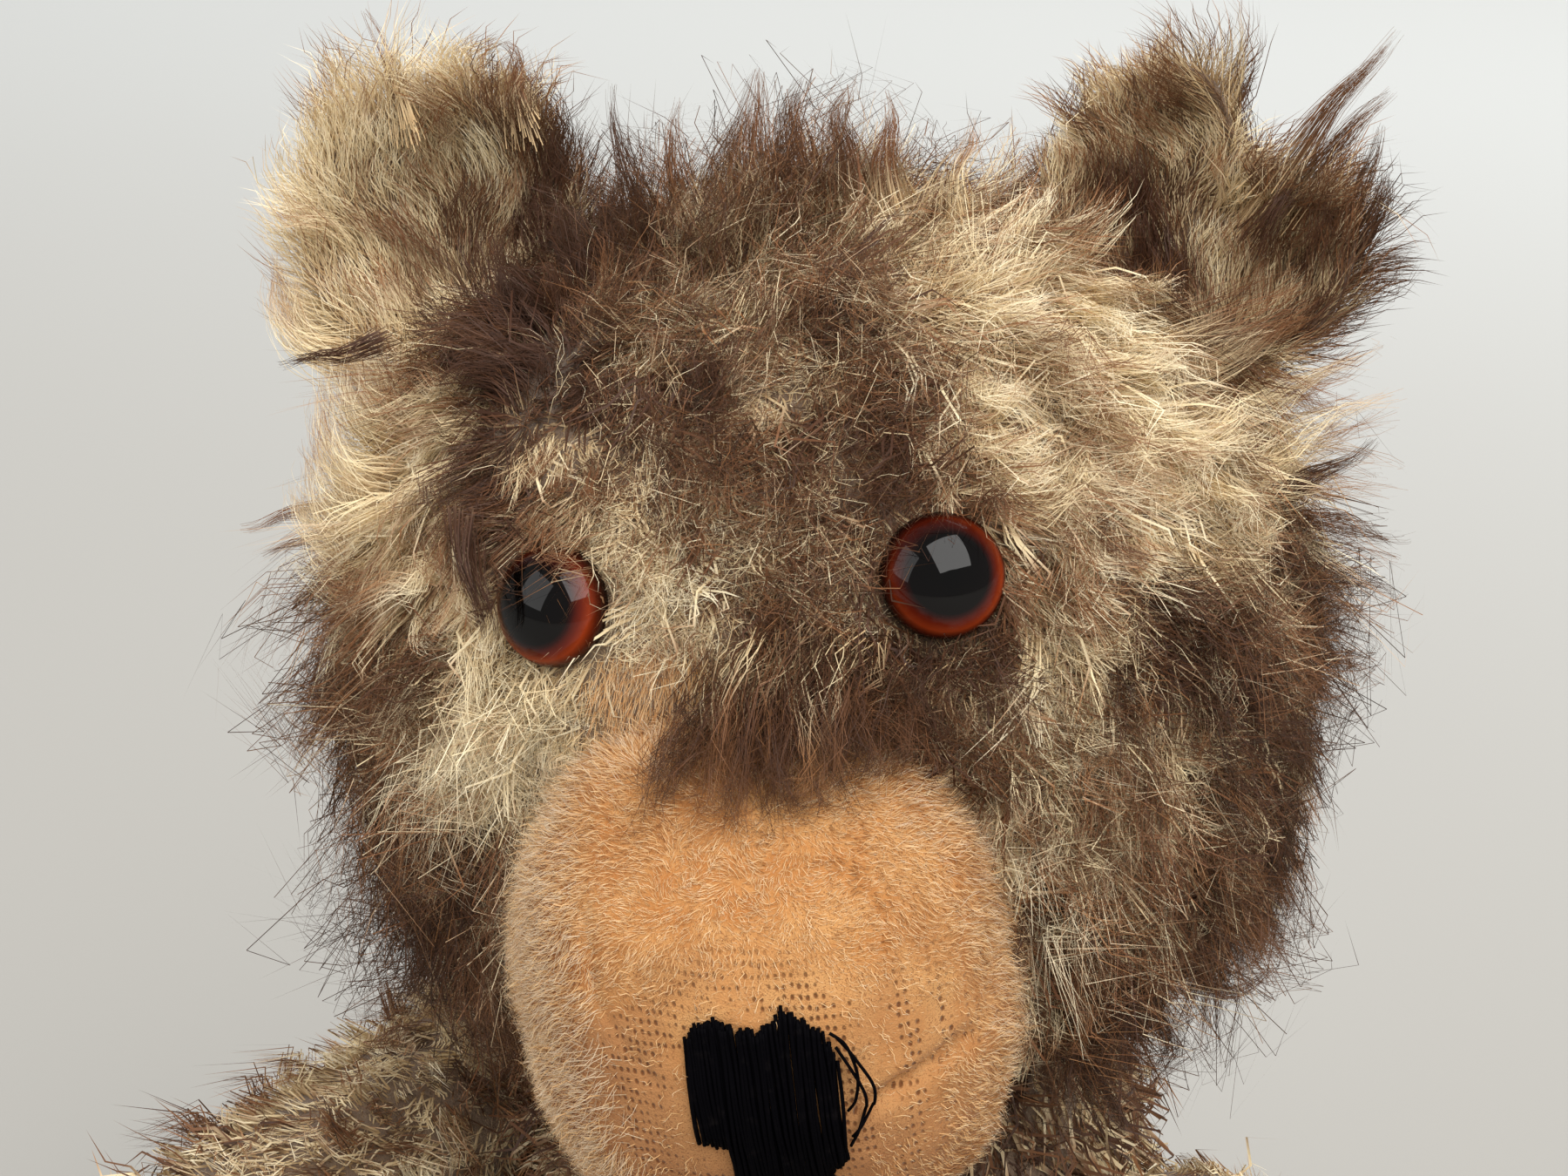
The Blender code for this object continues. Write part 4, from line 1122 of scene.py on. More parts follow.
shortSet = {
    "Locks": 1.1e6, "Taper": 0.9, "Gather": 0.3, "Wave": 0.05, "Turns": 0.5, "Frizz": 0.05,
    "Droop": 0.0,
}
fuzzSet = {
    "fuzz": {
        **shortSet, "Density": 11.0e6, "Width": 0.09 * mm, "Lock Tone": 0.2, "Own Tone": 0.45,
        "Seed": 41,
    },
    "hairs": {
        **shortSet, "Density": 2.9e6, "Width": 0.1 * mm, "Own Turn": 1.3, "Frizz": 0.12,
        "Turns": 0.6, "Lock Tone": 0.2, "Own Tone": 0.35, "Lock Size": 4 * mm, "Seed": 45,
    },
    "corner": {**shortSet, "Density": 13.0e6, "Width": 0.1 * mm, "Own Tone": 0.4, "Seed": 47},
    "pad": {
        **shortSet, "Density": 6.0e6, "Width": 0.2 * mm, "Gather": 0.35, "Lock Tone": 0.12,
        "Own Tone": 0.22, "Seed": 171,
    },
}
fuzzSet["edge"] = {**fuzzSet["hairs"], "Density": 8.0e6, "Seed": 48}
knitSet = {
    "stitch": 0.68, "row": 1.04, "slant": 0.1,    # millimetres between the knit's holes
    "half": (20.5, 14.5), "down": 22.5, "ahead": -38,    # the oval that is rubbed down to it
}


def growFuzz(name, skin, field, pile, body, strand="short", finish="fuzz"):
    return growPile(name, skin, field, fuzzSet[pile], body, finish, strand, "short_pile")


def wornShare(p):
    # 1 where the pile is rubbed away round the nose and the holes of the knit show
    wide, tall = knitSet["half"]
    around = np.hypot(p[:, 0] / wide, (p[:, 2] + knitSet["down"]) / tall)
    ragged = around + 0.25 * softNoise(p, 5, 26)
    return (p[:, 1] < knitSet["ahead"]) * (1 - ramped(ragged, 0.75, 1.1))


def makeMuzzle():
    made = skinThrough("muzzle", muzzleRows(28, 64, 0.0, 168), headPlace, "shortPile")
    p, n = inFrame(made, headPlace)
    lump = softNoise(p, 9, 21) * 0.7 + softNoise(p, 3.5, 22) * 0.22
    for crease in muzzleSet["creases"]:
        line = finerStations(crease["line"], 24)
        for t in np.linspace(0, 1, 24):
            x, z = line[int(t * 23)]
            apart = (p[:, 0] - x) ** 2 + (p[:, 2] - z) ** 2
            near = np.exp(-apart / crease["wide"] ** 2) * (p[:, 1] < -30)
            lump = np.minimum(lump, lump * (1 - near) + near * (lump - crease["deep"]))
    p = p + n * lump[:, None]
    setPoints(made.data, turned(p, headPlace))
    slanted = p[:, 2] + p[:, 0] * knitSet["slant"]
    rows = np.stack([p[:, 0] / knitSet["stitch"], p[:, 1] * 0.3, slanted / knitSet["row"]], 1)
    storeField(made.data, "rows", rows)
    storeField(made.data, "wear", wornShare(p))
    # painted shade: "deep" grows towards the muzzle's bottom and its lower side on the bear's
    # right, with random tone from noise on top
    low = ramped(-p[:, 2], 14, 34) * 0.75 + ramped(-p[:, 0] - 0.4 * p[:, 2], 13, 24) * 0.6
    storeField(made.data, "deep", np.clip(low + ramped(softNoise(p, 7, 25), 0.1, 0.5) * 0.35, 0, 1))
    return declared(made, "head", "short_pile", "muzzle_cover", fill=0.9)


muzzle = makeMuzzle()
muzzlePoints, muzzleNormals = inFrame(muzzle, headPlace)


def growMuzzleFuzz():
    p, n = muzzlePoints, muzzleNormals
    flow = np.stack([p[:, 0] * 0.05, np.full(len(p), 0.4), -0.6 - 0.01 * p[:, 2]], 1)
    flow += softWays(p, 4, 31) * 1.4
    # the fuzz's tone: random, and darker towards the muzzle's bottom as painted shade
    tone = 0.35 + softNoise(p, 8, 34) * 0.4 + ramped(-p[:, 2], 26, 40) * 0.35
    bare = bareSet["nose"]
    low, high = bare["between"]
    nose = (np.abs(p[:, 0] - bare["middle"]) < bare["half"]) & (p[:, 1] < bare["ahead"])
    nose &= (p[:, 2] > low) & (p[:, 2] < high)
    thick, worn = np.where(nose, 0, 1.0), wornShare(p)
    # "edge" is the muzzle's back rim and "pale" its far side on the bear's right, where the fuzz is
    # made paler partly as painted light along the outline
    edge, pale = ramped(p[:, 1], -54, -38), ramped(-p[:, 0] - 0.15 * p[:, 2], 15, 22)
    length = 0.9 + 1.3 * edge + softNoise(p, 5, 35) * 0.3 - 0.35 * worn
    field = fieldOf(n, headPlace, flow, tone - pale * 0.4, length, thick * (1 - 0.88 * worn))
    growFuzz("muzzleFuzz", muzzle, field, "fuzz", "head")
    field = {
        **field, "pileLength": (1.5 + 1.3 * edge + 0.6 * pale) * mm, "lift": 0.35 + 0.3 * edge,
        "tone": tone * 0.2 - 0.1 - pale * 0.2,
        "thick": thick * (0.55 + 0.2 * edge + 0.4 * pale - 0.35 * worn),
    }
    growFuzz("muzzleHairs", muzzle, field, "hairs", "head", "plain")
    # the pale fuzz along the muzzle's outline, partly painted light
    field = {
        **field, "pileLength": np.full(len(p), 1.9 * mm), "tone": np.zeros(len(p)),
        "thick": thick * np.clip(pale + 0.5 * edge, 0, 1),
    }
    growFuzz("muzzleEdge", muzzle, field, "edge", "head", finish="paleFuzz")


growMuzzleFuzz()
down = np.tile((0.0, -0.4, -1.0), (len(headPoints), 1))
cornerField = fieldOf(headNormals, headPlace, down, 0.25, 2.2, corner)
growFuzz("cornerFuzz", headSkin, cornerField, "corner", "head")


# the ears: cupped rounds sewn down along the skull

earSet = {
    "left": {"middle": (45, 4, 39), "radius": 16.2, "face": -14, "sag": 0.5, "tone": 0.45},
    "right": {"middle": (-35.5, 4, 47), "radius": 15, "face": 12, "sag": 0.04, "tone": 0.28},
    "cup": 6.5, "thick": 4, "pile": (8.0, 7.5), "sunk": 0.97,
    "longer": 1.15, "lower": 0.55,    # what the guides' lengths and lifts are multiplied by
}
earPile = {
    **pileSet, "Density": 6.3e6, "Lock Turn": 0.3, "Own Turn": 0.22, "Wave": 0.1, "Turns": 0.7,
    "Frizz": 0.035, "Gather": 0.3, "Lock Lift": 0.15, "Lock Size": 2.0 * mm, "Locks": 0.12e6,
}
earGuides = {
    "left": [
        (33, 55, -0.9, 0.5, 0.36, 7, 0.5, 4), (39, 53, -0.2, 0.9, 0.4, 5, 0.4, 4),
        (31, 48, 0.0, 1.0, 0.28, 6, 0.4, 2.5), (36, 47, 0.0, 1.0, 0.4, 6, 0.4, 3.5),
        (38.5, 43, 0.0, 1.0, 0.9, 6, 0.4, 2), (33, 40, 0.0, 1.0, 0.85, 6, 0.4, 4),
        (40.5, 40, 0.0, 1.0, 0.97, 5, 0.35, 1.8), (38, 34, 0.1, 1.0, 0.8, 6, 0.4, 4),
        (46, 38, 0.4, 0.9, 0.15, 7, 0.35, 3.5), (44, 33, 0.2, 1.0, 0.6, 6, 0.35, 3),
        (50, 37, 0.6, 0.8, 0.25, 8, 0.4, 3), (53, 42, 0.3, 0.9, 1.0, 7, 0.5, 2.2),
        (52, 33, 0.6, 0.7, 0.55, 8, 0.4, 3.5), (57, 41, 0.7, 0.8, 0.5, 8, 0.5, 3),
        (60.5, 36, 0.5, 0.9, 1.05, 8, 0.5, 3.6), (62, 30, 0.6, 0.7, 1.05, 7, 0.45, 3.8),
        (60, 25, 0.8, 0.3, 0.95, 7, 0.4, 4), (54, 28, 0.6, 0.6, 0.7, 7, 0.4, 3.5),
    ],
    "right": [
        (-39, 62, -0.2, 1.0, 0.08, 8, 0.45, 3), (-33, 60, 0.1, 1.0, 0.02, 7, 0.4, 3),
        (-28.5, 59, 0.3, 1.0, 0.7, 8, 0.4, 2), (-24, 58.5, 0.4, 0.9, 0.0, 9, 0.5, 2.6),
        (-19, 57, 0.6, 0.8, 0.1, 11, 0.6, 2.6), (-21, 52, 0.1, 1.0, 1.15, 8, 0.4, 3.4),
        (-16, 51, 0.3, 1.0, 1.1, 8, 0.4, 3.5), (-27.5, 50, 0.1, 1.0, 1.0, 8, 0.4, 2.6),
        (-47, 51, -0.4, 0.9, 0.02, 8, 0.35, 4), (-43, 55, -0.3, 0.9, 0.0, 8, 0.35, 4),
        (-47, 42, -0.3, 0.9, 0.0, 6, 0.3, 2.5), (-52, 42, -0.6, 0.8, 0.45, 8, 0.4, 3),
        (-38, 47, -0.1, 1.0, 0.2, 7, 0.35, 4), (-34, 43, 0.0, 1.0, 0.5, 7, 0.35, 4),
        (-40, 42, -0.1, 1.0, 0.35, 7, 0.35, 3), (-49, 36, -0.5, 0.8, 0.3, 8, 0.35, 4),
        (-31, 51, 0.0, 1.0, 0.12, 8, 0.35, 4), (-25, 45, 0.1, 1.0, 0.9, 8, 0.4, 3),
        (-43, 37, -0.2, 0.9, 0.2, 7, 0.3, 3),
    ],
}


def earFrame(ear):
    middle = Vector(ear["middle"]) * mm
    front = Vector((0, -1, 0))
    out = Vector((middle.x, 0, middle.z)).normalized()
    turn = Matrix((out.cross(front), out, front)).transposed().to_4x4()
    twist = Matrix.Rotation(math.radians(ear["face"]), 4, "Y")
    return headPlace @ Matrix.Translation(middle) @ turn @ twist


def makeEar(side):
    ear, place, count = earSet[side], earFrame(earSet[side]), 96
    a = np.arange(count) / count * 2 * np.pi
    folded = ear["sag"] * np.maximum(np.sin(a), 0) ** 6
    edge = np.stack([np.cos(a), np.sin(a) * (1 - folded)], 1) * ear["radius"]
    rows = []
    sizes = list(np.linspace(0.06, 0.9, 15)) + [0.94, 0.97, 0.99, 1.0]
    for face in (1, -1):
        for size in sizes if face > 0 else reversed(sizes[:-1]):
            wall = face * earSet["thick"] / 2 * math.sqrt(1 - size ** 6)
            depth = earSet["cup"] * (size ** 2 - 0.35) + wall
            rows.append(np.column_stack([edge * size, np.full(count, depth)]))
    made = skinThrough(f"earSkin{side.title()}", rows, place, "backing")
    declared(made, "head", "mohair", f"ear_{side}", fill=0.3)
    p, n = inFrame(made, place)
    inHead, headWays = inFrame(made, headPlace)
    deep = sum((inHead[:, k] / skullSet["half"][k]) ** 2 for k in range(3)) < earSet["sunk"]
    radial = p * np.array((1, 1, 0)) / ear["radius"]
    rim = ramped(np.linalg.norm(radial, axis=1), 0.62, 0.95)
    outward = unturnedWay(turnedWay(radial, place), headPlace)
    pile = np.where(n[:, 2] > 0.1, *earSet["pile"])
    plain = np.column_stack([outward, np.full(len(p), ear["tone"]), pile, 0.16 + 0.3 * rim])
    longer, lower = earSet["longer"], earSet["lower"]
    guides = [
        ((x, 0, z), (wayX, 0.0, wayZ), (tone, length * longer, lift * lower), reach)
        for x, z, wayX, wayZ, tone, length, lift, reach in earGuides[side]
    ]
    field = guided(inHead, headWays, headPlace, guides, plain, 50, True)
    field["thick"] = np.where(deep, 0, 1.0)
    storeField(made.data, "tone", field["tone"])
    values = {**earPile, "Seed": 60 + sides[side]}
    growPile(f"earPile{side.title()}", made, field, values, "head", strand="fine")


for side in sides:
    makeEar(side)


# the body and the limbs

bodyStations = [
    # height, half the width, half the depth, how far back the middle is
    (0, 27, 23, 3.5), (3, 35, 30, 3), (12, 41, 34.5, 2.5), (28, 43.8, 37, 1.5),
    (46, 43.2, 37, 0), (64, 40, 35.5, 0), (82, 38.5, 34, 0), (96, 35, 31.5, 0),
    (108, 28.5, 28, 0), (118, 24.5, 26, 0), (130, 20, 22, 0),
]
limbStations = {
    # along the limb, how far its middle line rises, half the thickness, half the height and how
    # far out from the body its middle is
    "arm": [
        (-17, 0, 0, 0, 9), (-15.5, 0, 7, 7.5, 9), (-11.5, 0, 12.5, 12.5, 9), (-5, 0, 15.5, 15.6, 9),
        (4, 0, 16, 16.4, 9), (20, 0, 15.8, 16.2, 10.5), (40, 1, 15, 15.5, 12),
        (58, 3, 13.5, 14, 12.5), (72, 7, 13.5, 14.5, 12.5), (84, 12, 12.5, 13.5, 12.5),
        (92, 16, 8.5, 9.5, 12.5), (95.5, 18, 0, 0, 12.5),
    ],
    "leg": [
        (-21.5, 0, 0, 0, 10), (-20, 0, 8.5, 9.5, 10), (-15, 0, 15.5, 16.5, 10.5),
        (-6, 0, 19.5, 20.5, 11), (8, 0, 20, 21, 11), (30, 0, 18.5, 19.5, 12.5),
        (55, 0, 16.5, 17.5, 14), (74, 1, 16, 17.5, 14.5), (86, 6, 17, 22.5, 15),
        (96, 9.5, 17.5, 26.5, 15), (104, 11, 17, 28, 15), (108.5, 11, 15.8, 26.8, 15),
        (109.5, 11, 14.5, 25.5, 15),
    ],
}
bodySet = {
    "slump": -2.4, "high": 118, "fill": 0.8, "pileFrom": 1, "pileTo": 116.5,
    "pile": {**pileSet, "Density": 0.65e6, "Width": 0.46 * mm, "Seed": 80},
    "neck": {**pileSet, "Density": 2.8e6, "Width": 0.22 * mm, "Seed": 81},
}
limbSet = {
    "pile": {**pileSet, "Density": 0.84e6, "Width": 0.42 * mm},
    "shoulder": {
        **pileSet, "Density": 2.6e6, "Width": 0.23 * mm, "Wave": 0.4, "Frizz": 0.1,
        "Lock Size": 1.5 * mm, "Lock Tone": 0.4, "Locks": 0.06e6,
    },
    # under the head, on the bear's left, the shoulder's pile is shorter and thinner
    "leftShoulder": {"Density": 2.1e6, "Width": 0.24 * mm}, "leftLength": 0.45,
    "meets": {"arm": 19, "leg": 26},    # how far round its joint a limb is bare
    "shoulderEnds": {"arm_left": (-42, -26), "arm_right": (-58, -40)},
}
# an arm's pad is an oval at its place, turned, on the inner side; a leg's is the sole
padSet = {
    "arm": {"half": (12.5, 8.6), "middle": (76, 9), "turn": 24, "within": 10},
    "leg": {"half": (12.6, 23.4), "middle": (15, 11), "past": 104},
    "sunk": 1.2, "under": 1.05, "nearby": 1.5,
}


def makeBody():
    rows = []
    for height, width, depth, middle in finerStations(bodyStations, 56):
        share = min(max(height / bodySet["high"], 0), 1)
        shift = bodySet["slump"] * math.sin(math.pi * share) ** 2
        rows.append(ovalRow((shift, middle, height), (width, 0, 0), (0, depth, 0), 80))

    def shape(points):
        for name, at in jointPlace.items():
            way = jointAxis[name]
            if name != "neck_turn":
                way = way * -sideOf(name)
            points = pressed(points, np.array(seat.inverted() @ at) / mm, np.array(way))
        return points

    made = skinThrough("bodySkin", rows, seat, "backing", shape)
    return declared(made, "torso", "mohair", "body_cover", fill=bodySet["fill"])


def makeLimb(name):
    kind, side = name.split("_")
    rows = []
    for along, rise, thick, high, middle in finerStations(limbStations[kind], 60)[1:-1]:
        centre = (middle, along, -sides[side] * rise)
        rows.append(ovalRow(centre, (max(thick, 0.3), 0, 0), (0, 0, max(high, 0.3)), 64))
    inner = lambda points: pressed(points, (0.3, 0, 0), (-1.0, 0, 0))
    made = skinThrough(titled(name) + "Skin", rows, limbFrame(name), "backing", inner)
    return declared(made, name, "mohair", name + "_cover", fill=bodySet["fill"])


def padShare(name, p):
    # below 1 over the paw's or the sole's pad, and whether a point is on that side of the limb
    side, pad = sideOf(name), padSet[name.split("_")[0]]
    (wide, tall), (middle, rise) = pad["half"], pad["middle"]
    if name.startswith("arm"):
        y, z = p[:, 1] - middle, p[:, 2] + side * rise
        a = -side * math.radians(pad["turn"])
        y, z = y * math.cos(a) + z * math.sin(a), -y * math.sin(a) + z * math.cos(a)
        return (y / wide) ** 2 + (z / tall) ** 2, p[:, 0] < pad["within"]
    oval = ((p[:, 0] - middle) / wide) ** 2 + ((p[:, 2] + side * rise) / tall) ** 2
    return oval, p[:, 1] > pad["past"]


def plainField(obj, place, flow, length, seed):
    p, n = inFrame(obj, place)
    tone = 0.42 + 0.42 * softNoise(p, 16, seed + 4) + 0.25 * softNoise(p, 6, seed + 5)
    storeField(obj.data, "tone", tone)
    return p, n, fieldOf(
        n, place, np.array(flow) + softWays(p, 9, seed) * 0.7, tone,
        length + softNoise(p, 10, seed + 6) * 1.5, lift=0.4 + 0.12 * softNoise(p, 8, seed + 7),
        curl=1 + 0.5 * softNoise(p, 12, seed + 8),
    )


def growBodyPile():
    # short near the neck, most of all on the bear's left, where the head leans over it
    skin = makeBody()
    p, _, field = plainField(skin, seat, (0.0, 0.0, -1.0), 8.0, 70)
    x, z = p[:, 0], p[:, 2]
    # partly painted shade: the pile darkens towards the neck, under the head
    field["tone"] = field["tone"] + 0.25 * ramped(z, 85, 105)
    field["thick"] = np.where((z > bodySet["pileTo"]) | (z < bodySet["pileFrom"]), 0, 1.0)
    growPile("bodyPile", skin, field, bodySet["pile"], "torso")
    leftNeck = ramped(x, 0, 16) * ramped(z, 84, 96)
    length = field["pileLength"] * (1 - 0.45 * ramped(z, 84, 98)) * (1 - 0.5 * leftNeck)
    # the neck's pile is darker again, partly painted shade under the head
    field = changed(
        field, ramped(z, 88, 98), tone=field["tone"] + 0.2, pileLength=length,
        lift=field["lift"] * (1 - 0.6 * leftNeck),
    )
    growPile("neckPile", skin, field, bodySet["neck"], "torso")


def growLimbPile(index, name):
    skin, place, title, kind = makeLimb(name), limbFrame(name), titled(name), name.split("_")[0]
    p, n, field = plainField(skin, place, (0.0, 1.0, 0.0), 7.5, 90 + index * 10)
    oval, near = padShare(name, p)
    # bare under the pad and where the limb meets the body, short on the rest of its inner side
    inside = p[:, 0] < 1.0
    meets = inside & (np.hypot(p[:, 1], p[:, 2]) < limbSet["meets"][kind])
    field["thick"] = np.where((oval < 1) & near | meets, 0, 1.0)
    byPad = near & (oval < padSet["nearby"])
    field["pileLength"] = field["pileLength"] * np.where(inside, 0.7, 1) * np.where(byPad, 0.65, 1)
    if kind == "arm":
        shoulder = ramped(-p[:, 1], *limbSet["shoulderEnds"][name])
        field["tone"] = field["tone"] - 0.2 * ramped(-p[:, 1], -40, 0)
        field["pileLength"] = field["pileLength"] * (1 - 0.15 * shoulder)
        upper = changed(field, shoulder, tone=field["tone"] - 0.05, lift=field["lift"] + 0.15)
        pile = {**limbSet["shoulder"], "Seed": 150 + index}
        if name == "arm_left":
            upper["pileLength"] = upper["pileLength"] * limbSet["leftLength"]
            pile.update(limbSet["leftShoulder"])
        growPile(title + "ShoulderPile", skin, upper, pile, name)
        field["thick"] = field["thick"] * (1 - 0.9 * shoulder)
    growPile(title + "Pile", skin, field, {**limbSet["pile"], "Seed": 130 + index}, name)
    inset = np.where((oval < padSet["under"]) & near, padSet["sunk"], 0)
    setPoints(skin.data, turned(p - n * inset[:, None], place))


growBodyPile()
for index, name in enumerate(limbDrop):
    growLimbPile(index, name)


# locks laid one by one: points across, forwards and up in the head's frame, then the number of
# strands, their spread and their tone

def linesToCurve(tree, given):
    return makeNode(tree, "GeometryNodeMeshToCurve", None, {0: given})


def makeLockTree():
    # each line becomes a lock of strands that part at the root and meet at the tip
    tree, given = newTree("locks", {
        "Width": 0.12 * mm, "Frizz": 0.4 * mm, "Turns": 5.0, "Seed": 1, "Finish": "material",
    })
    seed = given.out("Seed")
    many = makeNode(tree, "GeometryNodeDuplicateElements", {"domain": "SPLINE"}, {
        0: linesToCurve(tree, given), "Amount": named(tree, "many"),
    })
    which = makeNode(tree, "GeometryNodeCurveOfPoint")
    own, second = randomWay(tree, seed, which), randomWay(tree, seed + 5, which)
    ownX, ownY, ownZ = parts(own)
    secondX, _, secondZ = parts(second)
    trimmed = makeNode(tree, "GeometryNodeTrimCurve", {"mode": "FACTOR"}, {
        0: many, "End": 1 - mathOf("ABSOLUTE", secondZ) * 0.4,
    })
    kept = stored(trimmed, "along", makeNode(tree, "GeometryNodeSplineParameter"))
    along = named(tree, "along")
    angle = along * given.out("Turns") * (1 + secondX * 0.5) + ownX * math.pi
    stray = own * named(tree, "spread") * (1 - along * 0.92)
    stray = stray + second * (mathOf("SINE", angle) * given.out("Frizz") * (0.3 + along))
    moved = placedPoints(kept, Offset=stray)
    tilted = makeNode(tree, "GeometryNodeSetCurveTilt", None, {0: moved, "Tilt": ownY * 1.5})
    flat = makeNode(tree, "GeometryNodeCurvePrimitiveLine", None, {0: (-0.5, 0, 0), 1: (0.5, 0, 0)})
    flat = stored(flat, "across", makeNode(tree, "GeometryNodeSplineParameter") * 2 - 1)
    ribbon = makeNode(tree, "GeometryNodeCurveToMesh", None, {
        0: tilted, "Profile Curve": flat, "Fill Caps": False,
        "Scale": given.out("Width") * (1 - along * 0.8) * (1 + ownZ * 0.3),
    })
    tone = named(tree, "tone")
    return tonedTree(tree, ribbon, tone, along, named(tree, "across"), given.out("Finish"))


lockTree = makeLockTree()
lockSteps = 11


def lineObject(lines, facts):
    # lines of points in the shared frame; each fact has a value, or a list of them, for each line
    verts, edges, values = [], [], {label: [] for label in facts}
    for row, points in enumerate(lines):
        first, count = len(verts), len(points)
        verts += list(points)
        edges += [(first + k, first + k + 1) for k in range(count - 1)]
        for label, column in facts.items():
            values[label] += list(np.full(count, column[row], float))
    made = newObject("lines", verts, edges=edges)
    for label, column in values.items():
        storeField(made.data, label, column)
    return made


def layLocks(name, lines, settings):
    paths, many, spread, tone = zip(*lines)
    paths = [turned(np.array(finerStations(points, lockSteps)), headPlace) for points in paths]
    holder = lineObject(paths, {"tone": tone, "many": many, "spread": np.array(spread) * mm})
    runTree(holder, lockTree, {**settings, "Finish": finishes["mohair"]}, name, "head", "mohair")


headLocks = [
    # the long twisted locks on the bear's left ear
    ([(50.4, -2, 41), (54.5, -1.5, 46), (58.4, 0, 50.5), (62.6, 1, 54), (66.5, 2, 58.3)],
     120, 2.8, 0.7),
    ([(52.5, -2, 41), (57, -1, 45.0), (61, 0, 48.8), (64.5, 2, 50.9)], 100, 2.3, 0.75),
    ([(58, -1, 37), (60.5, 0, 42), (62.2, 1, 45), (63.2, 2, 47.7)], 70, 1.8, 0.9),
    ([(58, 0, 33), (61, 0, 37), (63.0, 1, 40), (63.5, 1, 43)], 70, 2.0, 0.95),
    ([(50, -3, 38), (52, -5, 41.5), (54, -4, 43.5), (55.5, -3, 42.5)], 70, 1.8, 1.0),
    # tufts standing on the crown
    ([(-11.2, -8, 46), (-12.2, -8, 52), (-13.4, -6, 58), (-13.3, -4, 62)], 60, 2.2, 0.97),
    ([(-6, -8, 46), (-7.0, -8, 51.5), (-7.2, -6, 56), (-6.6, -4, 58.7)], 60, 2.4, 0.75),
    ([(-1.5, -6, 46), (-1, -6, 52), (0.6, -3, 57.5), (1.2, 0, 60.8)], 160, 4.4, 0.72),
    ([(3.5, -6, 46), (4.5, -6, 52), (4.2, -3, 56), (5.6, 0, 59.2)], 110, 3.6, 0.85),
    ([(9, -6, 45), (9.6, -6, 51), (8.9, -3, 55), (10.4, 0, 57.6)], 110, 3.2, 0.8),
    ([(13.5, -5, 44), (13.4, -5, 50), (14.5, -3, 54), (13.7, 0, 57.6)], 80, 3.0, 0.65),
    ([(19, -5, 43), (20, -5, 48), (22, -3, 51), (22.5, 0, 53.5)], 80, 3.2, 0.4),
    # the point and the streaks of the bear's right ear
    ([(-36, -2, 58), (-37.6, 1, 63), (-39.2, 3, 68), (-40.2, 3, 71.1)], 60, 2.0, 0.62),
    ([(-23.5, -2, 57), (-24.5, 0, 61), (-24, 1, 64), (-25.5, 1, 66)], 60, 2.2, 0.72),
    # a dark twisted lock below it
    ([(-39, -13, 39), (-43, -15, 38.2), (-46, -15, 38.4), (-50.5, -14, 37.6)], 46, 1.3, 1.0),
    # locks that stand away from the cheeks
    ([(49, -10, 12), (53.5, -7, 14), (58, -5, 15), (60.5, -5, 17), (62.5, -5, 16.4)],
     60, 2.0, 0.97),
    ([(49, -10, 10), (53, -7, 9.5), (57, -5, 8.6), (60.5, -5, 6), (63, -5, 3.8)], 36, 1.8, 0.85),
    ([(-45, -10, 19), (-51, -8, 19.6), (-56.5, -5, 18.7), (-60, -5, 17.4), (-63.6, -5, 17.3)],
     60, 2.2, 0.6),
    ([(-45, -10, 16), (-52, -8, 16), (-56.5, -5, 15.4), (-60.5, -5, 14)], 50, 2.2, 0.75),
    ([(-47, -10, 3), (-52, -9, 1), (-56, -8, -2), (-57.5, -8, -6)], 80, 3.0, 0.9),
    # dark locks that hang under the jaw
    ([(21.4, -28, -27), (23.8, -30, -33), (26, -29, -39), (27.7, -27, -44), (29.5, -26, -50)],
     130, 3.2, 0.97),
    ([(28, -25, -24), (31.5, -26, -33), (35, -25, -40), (34, -23, -44), (31.5, -23, -47)],
     110, 3.0, 0.95),
    ([(35, -23, -20), (36.5, -25, -28), (39, -23, -35), (42.5, -21, -36.8), (46.9, -20, -33.8)],
     90, 3.0, 0.8),
    ([(40, -20, -16), (44, -20, -19.5), (48, -18, -22.5), (50.1, -18, -26)], 70, 2.2, 0.9),
    ([(20, -29, -28), (21.6, -30, -35), (22.3, -28, -40), (23, -28, -45.6)], 100, 3.0, 0.85),
    ([(39, -21, -21), (43.6, -22, -27), (44.8, -20, -32), (42.3, -20, -35.6)], 90, 2.8, 0.6),
    # dark tufts at the outer corner of the bear's right eye, their dark tone painted shade in the
    # hollow there
    ([(-27, -36, 26), (-26.5, -40, 23), (-24.8, -42.5, 19), (-25, -42, 15)], 60, 1.6, 1.0),
    ([(-26, -36, 24), (-24.8, -41, 22), (-23.4, -43, 18.5), (-23.8, -42.5, 15.5)], 40, 1.2, 1.0),
]


def sideLocks():
    # pale pile that hides the dip between the bear's right ear and the cheek
    rng = np.random.default_rng(14)
    lines = []
    half = skullSet["half"]
    for k in range(60):
        x, y = rng.uniform(-46, -35), rng.uniform(-18, 4)
        z = half[2] * math.sqrt(max(1 - (x / half[0]) ** 2 - (y / half[1]) ** 2, 0.03))
        if k >= 44:
            x, y, z = rng.uniform(-48, -44), rng.uniform(-4, 2), rng.uniform(33, 39)
        out, up = rng.uniform(0.7, 1.15), rng.uniform(0.6, 1.1)
        lines.append(([
            (x, y, z), (x - 4.2 * out, y - 2, z + 2.5 * up), (x - 6.2 * out, y - 2.5, z + 6.5 * up),
            (x - 6 * out, y - 2, z + 11 * up),
        ], 36, 3.2, rng.uniform(0.02, 0.45)))
    return lines


